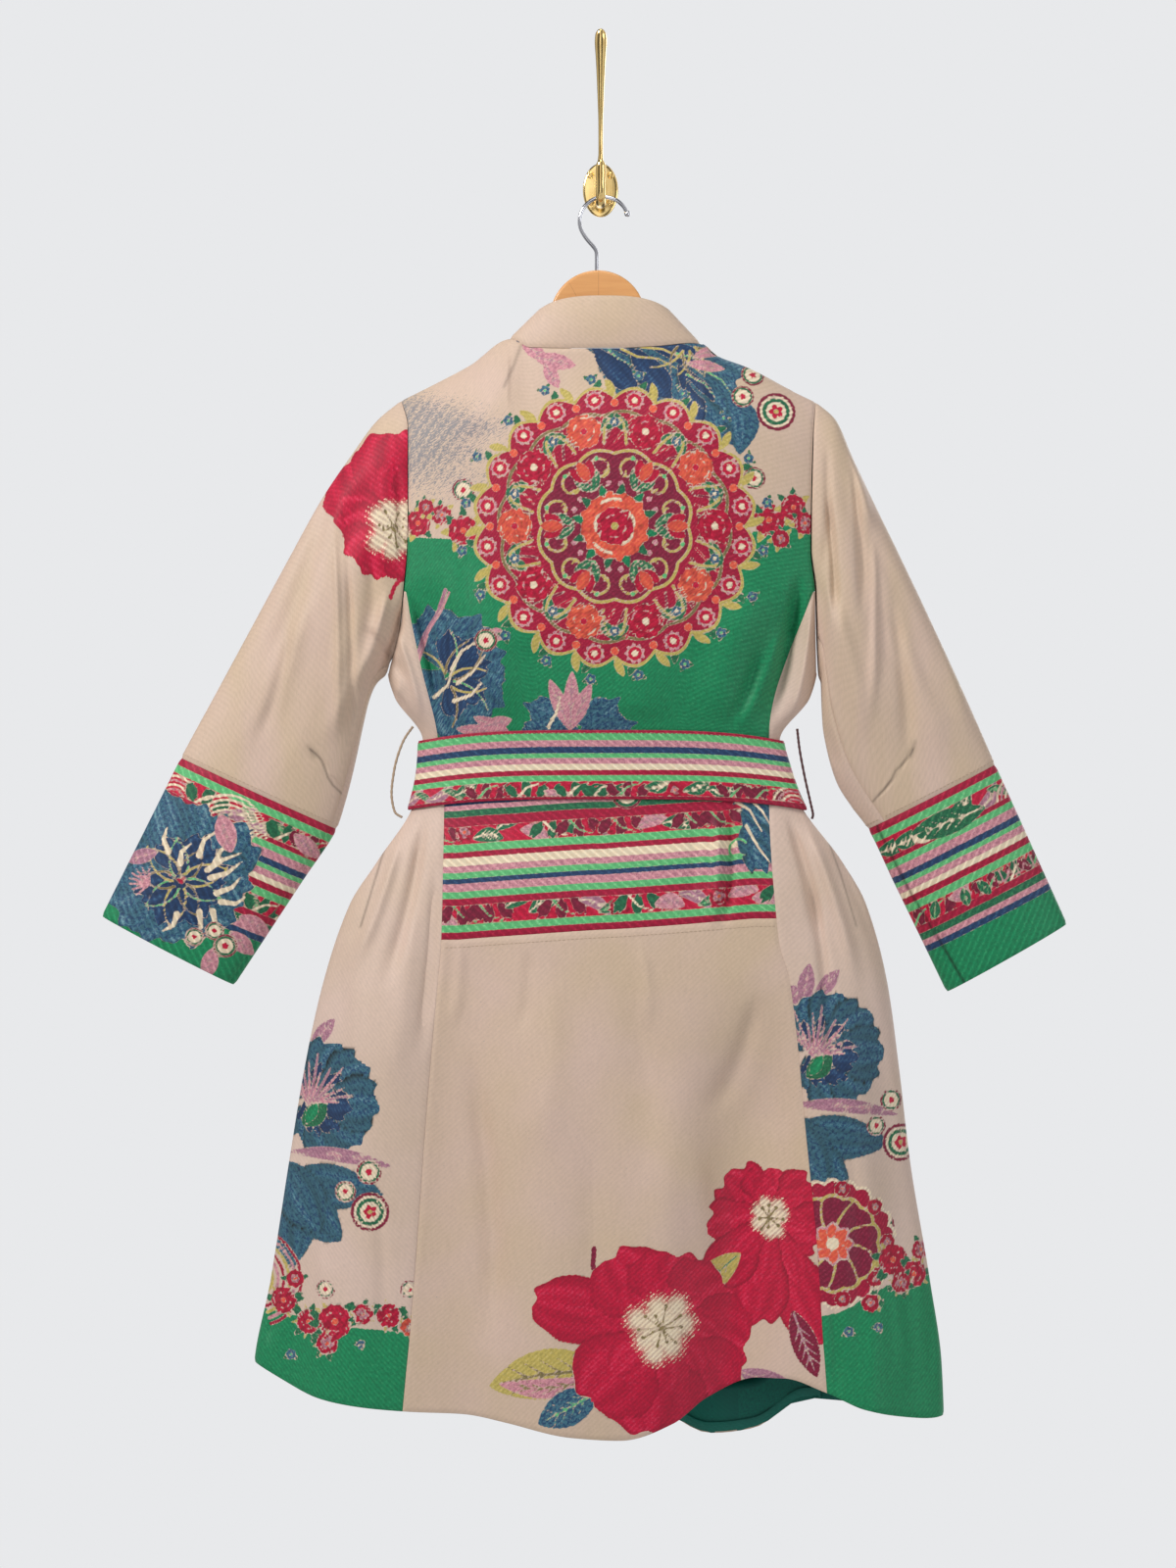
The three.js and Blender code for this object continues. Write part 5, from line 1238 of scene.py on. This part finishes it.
def paintPiece(name, cut, kind):
    if kind == "belt":
        chart = Chart(cut["u"] / chartScale["square"], cut["v"] / chartScale["square"])
        paintStripes(chart, stripeColours["belt"], chart.x.min(), chart.x.max(), stripeSeeds["belt"])
    elif kind == "band":
        chart = chartOf(cut)
        chart.z = ((cut["v"][:, -1:] - cut["v"]) / chartScale["square"]).ravel()
        paintStripes(chart, stripeColours["band"], 440, 800, stripeSeeds["band"])
        chart.z = 957 - chart.z
        paintBandEnd(chart)
    elif kind == "cuff":
        side = "left" if "left" in name else "right"
        chart = cuffChart(side, cut)
        paintStripes(chart, stripeColours["cuff"], chart.x.min(), chart.x.max(), stripeSeeds[side])
        {"left": paintLeftCuff, "right": paintRightCuff}[side](chart)
        if side == "right":
            # painted shade along the cuff's seam, on its back only
            onBack = chartOf(cut, backOnly=True)
            onBack.tone = chart.tone
            onBack.shadeLine(*cuffSeamShade)
    else:
        chart = chartOf(cut, backOnly=name == "sleeve_left_top_cloth")
        if name in painters:
            painters[name](chart)
        # painted shade along seams, pocket openings and a dart
        for path, width, depth in seamShades.get(name, []):
            chart.shadeLine(path, width, depth)
    return chart


for name, (piece, cut, kind) in coatPieces.items():
    used = setAttributes(name, paintPiece(name, cut, kind))
    ground = {"facing": "lining", "sideBack": "pale"}.get(kind, "beige")
    lean = 1 if kind in ("belt", "band", "cuff") else -1
    pitch = weave["pitch"].get(kind, weave["pitch"]["other"])
    piece.data.materials.append(wovenCloth(name.replace("_cloth", "_weave"), used, ground, lean, pitch))
print("design woven")


# linings, seen at the hem, the neck and the cuffs
liningGrid = {"inward": 3.1, "across": 3, "down": 4}  # on every third and fourth line of the cloth's grid
liningGroups = {"lining_body": (("back", "side", "front"), "", (1.3, 0.97)),
                "lining_sleeve_left": (("sleeve", "cuff"), "_left_", (0.5, 0.55)),
                "lining_sleeve_right": (("sleeve", "cuff"), "_right_", (0.5, 0.55))}
liningFinish = wovenCloth("lining_satin", [], "lining", relief=0.3)
for name, (starts, part, flat) in liningGroups.items():
    positions, quads, area, count = [], [], 0, 0
    for member, (_, cut, kind) in coatPieces.items():
        if not member.startswith(starts) or part not in member or kind == "facing":
            continue
        across, down = cut["grid"].shape[:2]
        i = np.unique(np.append(np.arange(0, across, liningGrid["across"]), across - 1))
        j = np.unique(np.append(np.arange(0, down, liningGrid["down"]), down - 1))
        inner = (cut["grid"] - cut["normal"] * liningGrid["inward"])[np.ix_(i, j)]
        positions.append(inner.reshape(-1, 3))
        quads.append(gridQuads(len(i), len(j)) + count)
        count += len(i) * len(j)
        area += areaOf(inner) * mm * mm
    lining = meshObject(name, np.concatenate(positions), np.concatenate(quads))
    lining.data.uv_layers.new(name="cut")
    for key in ("tone", "fade"):
        lining.data.attributes.new(key, "FLOAT", "POINT")
    lining.data.materials.append(liningFinish)
    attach(lining, "root")


def seamLine(name, edge, offset):  # the points and normals along a piece's edge, at an offset from it
    cut = coatPieces[name][1]
    upright = edge in ("top", "bottom")
    far = cut["v"] if upright else (cut["u"] - cut["u"][0]).T
    at = far[:, -1] - offset if edge in ("bottom", "right") else np.full(len(far), float(offset))

    def read(values):
        values = values if upright else values.transpose(1, 0, 2)
        return np.array([[np.interp(at[k], far[k], values[k, :, c]) for c in range(3)] for k in range(len(far))])
    return read(cut["face"]), read(cut["normal"])


# short raised threads along the seams that are topstitched
stitch = {"length": 2.7, "gap": 1.2, "radius": 0.26, "lift": 0.16, "sides": 5, "margin": 4,
          "rings": [(0, 0.45, -0.1), (0.25, 1, 0.8), (0.75, 1, 0.8), (1, 0.45, -0.1)]}  # share, size, lift


def sew(path, normal):
    run = runOf(path)
    starts = np.arange(stitch["margin"], run[-1] - stitch["margin"], stitch["length"] + stitch["gap"])
    at = lambda values, s: np.stack([np.interp(s, run, values[:, c]) for c in range(3)], -1)
    turn = (np.arange(stitch["sides"]) * 2 * np.pi / stitch["sides"])[None, :, None]
    rings = []
    for share, size, lift in stitch["rings"]:
        s = starts + share * stitch["length"]
        up = at(normal, s)
        way = at(path, s + 0.5) - at(path, s - 0.5)
        across = np.cross(way / np.linalg.norm(way, axis=1, keepdims=True), up)
        rings.append((at(path, s) + up * (stitch["lift"] * lift))[:, None] + stitch["radius"] * size * (
            np.cos(turn) * across[:, None] + np.sin(turn) * up[:, None]))
    positions = np.stack(rings, 1)  # stitch, ring, side
    quads = ringQuads(*positions.shape[1:3])[:, ::-1]
    firsts = np.arange(len(starts))[:, None, None] * (positions.shape[1] * positions.shape[2])
    return positions.reshape(-1, 3), (quads[None] + firsts).reshape(-1, 4)


threads = {  # piece, edge and how far from it
    "stitches_beige": [("back_skirt_cloth", "top", 7)] + [
        line for side in ["left", "right"] for line in [
            (f"sleeve_{side}_top_cloth", "bottom", 4), (f"sleeve_{side}_under_cloth", "bottom", 4),
            (f"front_{side}_cloth", "right", 7)]],
    "stitches_belt": [("belt_cloth", "top", 2.4), ("belt_cloth", "bottom", 2.4)]}


def threadFinish(name, colour, other):
    finish = Finish(name, Sheen_Weight=0.3, Specular_IOR_Level=0.3)
    place = finish.node("TexCoord", output=3)
    fibre = finish.noise(place, 1800, 2)
    return finish.done(finish.mixed(fibre, linear(*colour), linear(*other)), fibre * 0.2 + 0.6, fibre, 0.0002)


threadFinishes = {"stitches_beige": threadFinish("thread_beige", (186, 164, 140), (164, 140, 116)),
                  "stitches_belt": threadFinish("thread_belt", (150, 30, 62), (110, 20, 48))}
for name, lines in threads.items():
    positions, quads, count = [], [], 0
    for line in lines:
        p, q = sew(*seamLine(*line))
        positions.append(p)
        quads.append(q + count)
        count += len(p)
    piece = meshObject(name, np.concatenate(positions), np.concatenate(quads))
    piece.data.materials.append(threadFinishes[name])
    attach(piece, "root")
    "stripe_cloth" if name == "stitches_belt" else "champagne_cloth"
print("linings and stitches done")


def tubePiece(name, parts, material, nodes):  # each part: path, widths, depths, sides, way across
    positions, faces, count = [], [], 0
    for path, wide, deep, sides, across in parts:
        path, across = np.array(path, float), np.array(across, float)
        way = np.gradient(path, axis=0)
        other = np.cross(way / np.linalg.norm(way, axis=1, keepdims=True), across)
        turn = (np.arange(sides) * 2 * np.pi / sides)[None, :, None]
        wide, deep = (np.broadcast_to(size, len(path))[:, None, None] for size in (wide, deep))
        ring = path[:, None] + (np.cos(turn) * across * wide + np.sin(turn) * other[:, None] * deep)
        positions += ring.reshape(-1, 3).tolist()
        faces += (ringQuads(len(path), sides) + count).tolist()
        last = count + (len(path) - 1) * sides
        faces += [list(range(count + sides - 1, count - 1, -1)), list(range(last, last + sides))]
        count += len(path) * sides
    piece = meshObject(name, positions, faces)
    piece.data.materials.append(material)
    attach(piece, "root")
    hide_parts(*nodes)


def metalFinish(name, colour, dark, roughness):
    finish = Finish(name, Metallic=1.0)
    place = finish.node("TexCoord", output=3)
    wear = finish.noise(place, 60, 4, 0.6)
    scratch = finish.noise(place, (900, 900, 60, 1))
    tint = ((wear - 0.5) * 2 + 0.25).clamped()
    return finish.done(finish.mixed(tint, linear(*colour), linear(*dark)), wear * 0.12 + roughness, scratch, 0.00004)


brass = metalFinish("polished_brass", (244, 214, 146), (216, 176, 104), 0.09)
chrome = metalFinish("chrome_wire", (206, 206, 210), (168, 168, 174), 0.07)


def smoothRows(rows, count):
    key = np.arange(len(rows["y"]), dtype=float)
    rows = dict(rows, key=key)
    at = np.linspace(0, key[-1], count)
    return [along(rows, "key", c, at) for c in ("y", "z", "wide", "deep")]


hook = {
    "plate": table("y z wide deep", [[0, 0, 16, 24.4], [-1.6, 0, 16, 24.4], [-2.3, 0, 15.7, 24.1], [-2.8, 0, 15, 23.4],
                                     [-3.05, 0, 14, 22.4], [-3.2, 0, 10, 17], [-3.26, 0, 4, 8], [-3.28, 0, 0.5, 1]]),
    "arm": table("y z wide deep", [
        [-1.5, 13, 4.6, 5], [-8, 17.5, 4.2, 4.6], [-13, 24, 2.9, 3.6], [-17, 33, 2, 2.7], [-25, 56, 2.1, 2.6],
        [-36, 82, 3, 3], [-48, 107, 4.2, 3.7], [-57, 125, 5.4, 4.3], [-60.5, 131.5, 4.8, 3.8],
        [-62.4, 135.4, 2.2, 1.8], [-62.7, 136.2, 0.4, 0.4]]),
    "prong": table("y z wide deep", [
        [-1.5, -6, 4.7, 6], [-10, -12.4, 4.7, 4], [-20, -16.2, 4.5, 3.3], [-28, -16.7, 4.4, 3.3],
        [-36.5, -16.3, 4.3, 3.3], [-43.5, -13.2, 4.3, 3.3], [-48, -7.6, 4.2, 3.3], [-51, 0, 4.1, 3.3],
        [-52.8, 8, 4.5, 3.5], [-54, 14.6, 4.4, 3.5], [-54.8, 18.4, 3.1, 2.6], [-55.2, 20.4, 1.2, 1.1],
        [-55.3, 20.8, 0.3, 0.3]])}
parts = []
for key, count in {"plate": 40, "arm": 90, "prong": 90}.items():
    y, z, wide, deep = smoothRows(hook[key], count)
    parts.append((np.stack([0 * y, y, z], -1), wide, deep, 64 if key == "plate" else 28, (1, 0, 0)))
tubePiece("wall_hook_brass", parts, brass, ["wall_hook"])
# cross-head screws, domed, each turned its own way
screws = {"radius": 3.2, "height": 1.5, "foot": -2.9, "slot": 0.54, "reach": 2.15, "depth": 0.75,
          "rings": 24, "sides": 72, "turns": {(-9, 13.4): 20, (9, 13.4): 62, (-8.6, -11): 5, (8.6, -11): 38}}
screwNodes = [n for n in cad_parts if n.startswith("screw_")]


def inSlot(across, along):
    return smooth((screws["slot"] - np.abs(across)) / 0.2) * smooth((screws["reach"] - np.abs(along)) / 0.3)


for (x, z), degrees in screws["turns"].items():
    rings, sides = screws["rings"], screws["sides"]
    r, a = np.meshgrid(np.linspace(0.02, 1, rings), np.arange(sides) * 2 * np.pi / sides, indexing="ij")
    reach, turned = r * screws["radius"], a - math.radians(degrees)
    dx, dz = reach * np.cos(turned), reach * np.sin(turned)
    high = screws["height"] * (1 - r ** 4) ** 0.5 - screws["depth"] * np.maximum(inSlot(dx, dz), inSlot(dz, dx))
    positions = np.stack([x + reach * np.cos(a), screws["foot"] - high, z + reach * np.sin(a)], -1)
    nearest = min(screwNodes, key=lambda n: (Vector(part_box(n)[0]) + Vector(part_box(n)[1])
                                             - 2 * Vector((x * mm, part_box(n)[0][1], z * mm))).length)
    head = meshObject(nearest + "_head", positions, ringQuads(rings, sides).tolist() + [list(range(sides))[::-1]])
    head.data.materials.append(brass)
    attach(head, "root")
    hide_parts(nearest)

wire = {"y": -36.5, "radius": 1.75, "x": 3, "z": -32.6, "bend": 22, "stem": (-92, -62), "sides": 20, "ball": 2.75,
        "shoulder": [[-3.5, -60.5], [-5, -57], [-10.5, -51], [-15.5, -45.5]]}
path = [[wire["shoulder"][0][0], z] for z in np.linspace(*wire["stem"], 14)]
for start, end in zip(wire["shoulder"][:-1], wire["shoulder"][1:]):
    path += [[blendTo(start[0], end[0], t), blendTo(start[1], end[1], t)] for t in (0, 0.33, 0.66)]
path += [around(wire["x"], wire["z"], angle, wire["bend"]) for angle in range(206, 17, -4)]
path = np.array(path)
for _ in range(3):  # softens the corners of the bend
    path[1:-1] = (path[:-2] + 2 * path[1:-1] + path[2:]) / 4
path = np.stack([path[:, 0], 0 * path[:, 0] + wire["y"], path[:, 1]], -1)
drops = np.linspace(-2.6, 2.6, 15)  # the ball at the wire's end
ball = [[path[-1][0] + t * 0.35, path[-1][1], path[-1][2] - t] for t in drops]
ballRadius = wire["ball"] * np.sqrt(np.clip(1 - (drops / (wire["ball"] + 0.01)) ** 2, 0.02, 1))
tubePiece("hanger_wire_chrome", [(path, wire["radius"], wire["radius"], wire["sides"], (0, 1, 0)),
                                 (ball, ballRadius, ballRadius, wire["sides"], (0, 1, 0))],
          chrome, ["hanger_wire"])

hanger = {"y": -36.5, "thickness": 11.4, "rounding": 2.6, "x": -2.5, "z": -120, "radius": 43,
          "left": [[-168, -194.6], [-148, -184.2], [-117, -167.2], [-86, -147.5], [-73, -142], [-44, -115]],
          "right": [[46, -115], [79, -145.5], [92, -152.6], [102.5, -159.2], [131.8, -171.6], [165, -190],
                    [172, -194.6]],
          "under": [[175, -203], [150, -198], [100, -180], [55, -158], [20, -146], [-25, -146], [-60, -158],
                    [-100, -180], [-145, -198], [-172, -205]]}
outline = hanger["left"] + [around(hanger["x"], hanger["z"], angle, hanger["radius"]) for angle in range(166, 13, -3)]
outline += hanger["right"] + hanger["under"]
board = meshObject("hanger_wood_board", [(x, hanger["y"], z) for x, z in outline], [list(range(len(outline)))])
thick = board.modifiers.new("thickness", "SOLIDIFY")
thick.thickness, thick.offset = hanger["thickness"] * mm, 0
bevel = board.modifiers.new("rounding", "BEVEL")
bevel.width, bevel.segments, bevel.limit_method, bevel.harden_normals = hanger["rounding"] * mm, 4, "ANGLE", True
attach(board, "root")
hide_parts("hanger_wood")
finish = Finish("honey_wood", Specular_IOR_Level=0.45, Coat_Weight=0.25)
place = finish.node("TexCoord", output=3)
x, _, z = finish.parts(place)
growth = finish.noise(place, (16, 60, 220, 1), 4, 0.6)
pores = finish.noise(place, (120, 900, 1500, 1))
joint = (1 - (x + 0.002).size() * 2600).clamped()  # two glued joints, one upright and one slanting
slant = (1 - (x + 0.022 + (z + 0.1) * 0.55).size() * 2600).clamped()
colour = finish.mixed(growth, linear(232, 176, 112), linear(204, 138, 78))
colour = finish.mixed((joint + slant).clamped() * 0.5, colour, linear(140, 84, 44))
board.data.materials.append(finish.done(colour, pores * 0.15 + 0.32, pores * 0.5 + growth * 0.3, 0.0002, 0.3))

loops = {"left": [[-168.4, -487], [-177, -500], [-185, -525], [-187.6, -547], [-184.4, -564], [-178, -568.6]],
         "right": [[176.2, -489], [178, -505], [182.5, -530], [187.4, -552], [190.4, -566], [189.4, -570]]}
loopLook = {"left": (1.7, (190, 168, 142), (150, 126, 104)), "right": (2.3, (96, 58, 58), (64, 36, 40))}
for side, places in loops.items():
    rowsOf = table("x z", places)
    rowsOf["key"] = np.arange(len(places), dtype=float)
    at = np.linspace(0, len(places) - 1, 70)
    x, z = along(rowsOf, "key", "x", at), along(rowsOf, "key", "z", at)
    braid = 1 + 0.14 * np.sin(np.arange(70) * 1.9)
    width, *colours = loopLook[side]
    tubePiece(f"belt_loop_{side}_thread",
              [(np.stack([x, 0 * x - 47, z], -1), width * braid, 1.15 * braid, 10, (0, 1, 0))],
              threadFinish(f"loop_{side}", *colours), [f"belt_loop_{side}"])
print("hanger and hook done")


# floor and light
floor = {"radius": 1800, "y": -100, "z": -1900, "sides": 64}
places = [around(0, floor["y"], 360 * k / floor["sides"], floor["radius"]) for k in range(floor["sides"])]
ground = meshObject("floor", [(x, y, floor["z"]) for x, y in places], [list(range(floor["sides"]))])
finish = Finish("pale_floor")
patch = finish.noise(finish.node("TexCoord", output=3), 3)
tiles = finish.mixed(patch, linear(226, 226, 226), linear(216, 216, 218))
ground.data.materials.append(finish.done(tiles, patch * 0.1 + 0.7))

studio = {  # place in millimetres, size in metres, watts, colour
    "key": ((-1850, -1750, 1050), 0.8, 62, (1.0, 0.985, 0.98)),
    "fill": ((2500, -2000, -500), 1.8, 23, (0.92, 0.95, 1.0)),
    "above": ((200, -900, 1700), 1.0, 12, (1.0, 0.99, 0.97)),
    "behind": ((1500, 2600, 300), 1.6, 26, (0.98, 0.99, 1.0))}
for name, (place, size, watts, colour) in studio.items():
    lamp = bpy.data.objects.new(name, bpy.data.lights.new(name, "AREA"))
    scene.collection.objects.link(lamp)
    lamp.location = Vector(place) * mm
    lamp.rotation_euler = (Vector((0, -0.05, -0.55)) - lamp.location).to_track_quat("-Z", "Y").to_euler()
    lamp.data.energy, lamp.data.size, lamp.data.color = watts, size, colour
world = bpy.data.worlds.new("studio")
scene.world = world
world.use_nodes = True
tree = world.node_tree
worldNode = lambda kind: tree.nodes.new("ShaderNode" + kind)
sky = {"camera": ((232, 233, 235), 1.0), "soft": ((226, 228, 232), 0.43)}
backdrops = {}
for name, (colour, strength) in sky.items():
    backdrops[name] = worldNode("Background")
    backdrops[name].inputs[0].default_value, backdrops[name].inputs[1].default_value = linear(*colour), strength
# light and dark bands from side to side, for the metals to mirror
bands = worldNode("Background")
ramp, split, place, halfway = (worldNode(kind) for kind in ("ValToRGB", "SeparateXYZ", "TexCoord", "Math"))
stops = [(0, 0.7), (0.18, 0.06), (0.34, 0.16), (0.42, 1.5), (0.5, 1.2), (0.57, 0.12), (0.74, 0.08),
         (0.84, 1.0), (1, 0.3)]
while len(ramp.color_ramp.elements) < len(stops):
    ramp.color_ramp.elements.new(0.5)
for element, (at, bright) in zip(ramp.color_ramp.elements, stops):
    element.position, element.color = at, (bright, bright, bright * 1.02, 1)
halfway.operation = "MULTIPLY_ADD"
halfway.inputs[1].default_value, halfway.inputs[2].default_value = 0.5, 0.5
rays, mirrored, joined = (worldNode(kind) for kind in ("LightPath", "MixShader", "MixShader"))
for output, target in [(place.outputs["Generated"], split.inputs[0]), (split.outputs[0], halfway.inputs[0]),
                       (halfway.outputs[0], ramp.inputs[0]), (ramp.outputs[0], bands.inputs[0]),
                       (rays.outputs["Is Glossy Ray"], mirrored.inputs[0]),
                       (backdrops["soft"].outputs[0], mirrored.inputs[1]), (bands.outputs[0], mirrored.inputs[2]),
                       (rays.outputs["Is Camera Ray"], joined.inputs[0]), (mirrored.outputs[0], joined.inputs[1]),
                       (backdrops["camera"].outputs[0], joined.inputs[2]),
                       (joined.outputs[0], tree.nodes["World Output"].inputs[0])]:
    tree.links.new(output, target)
scene.view_settings.view_transform = "Standard"
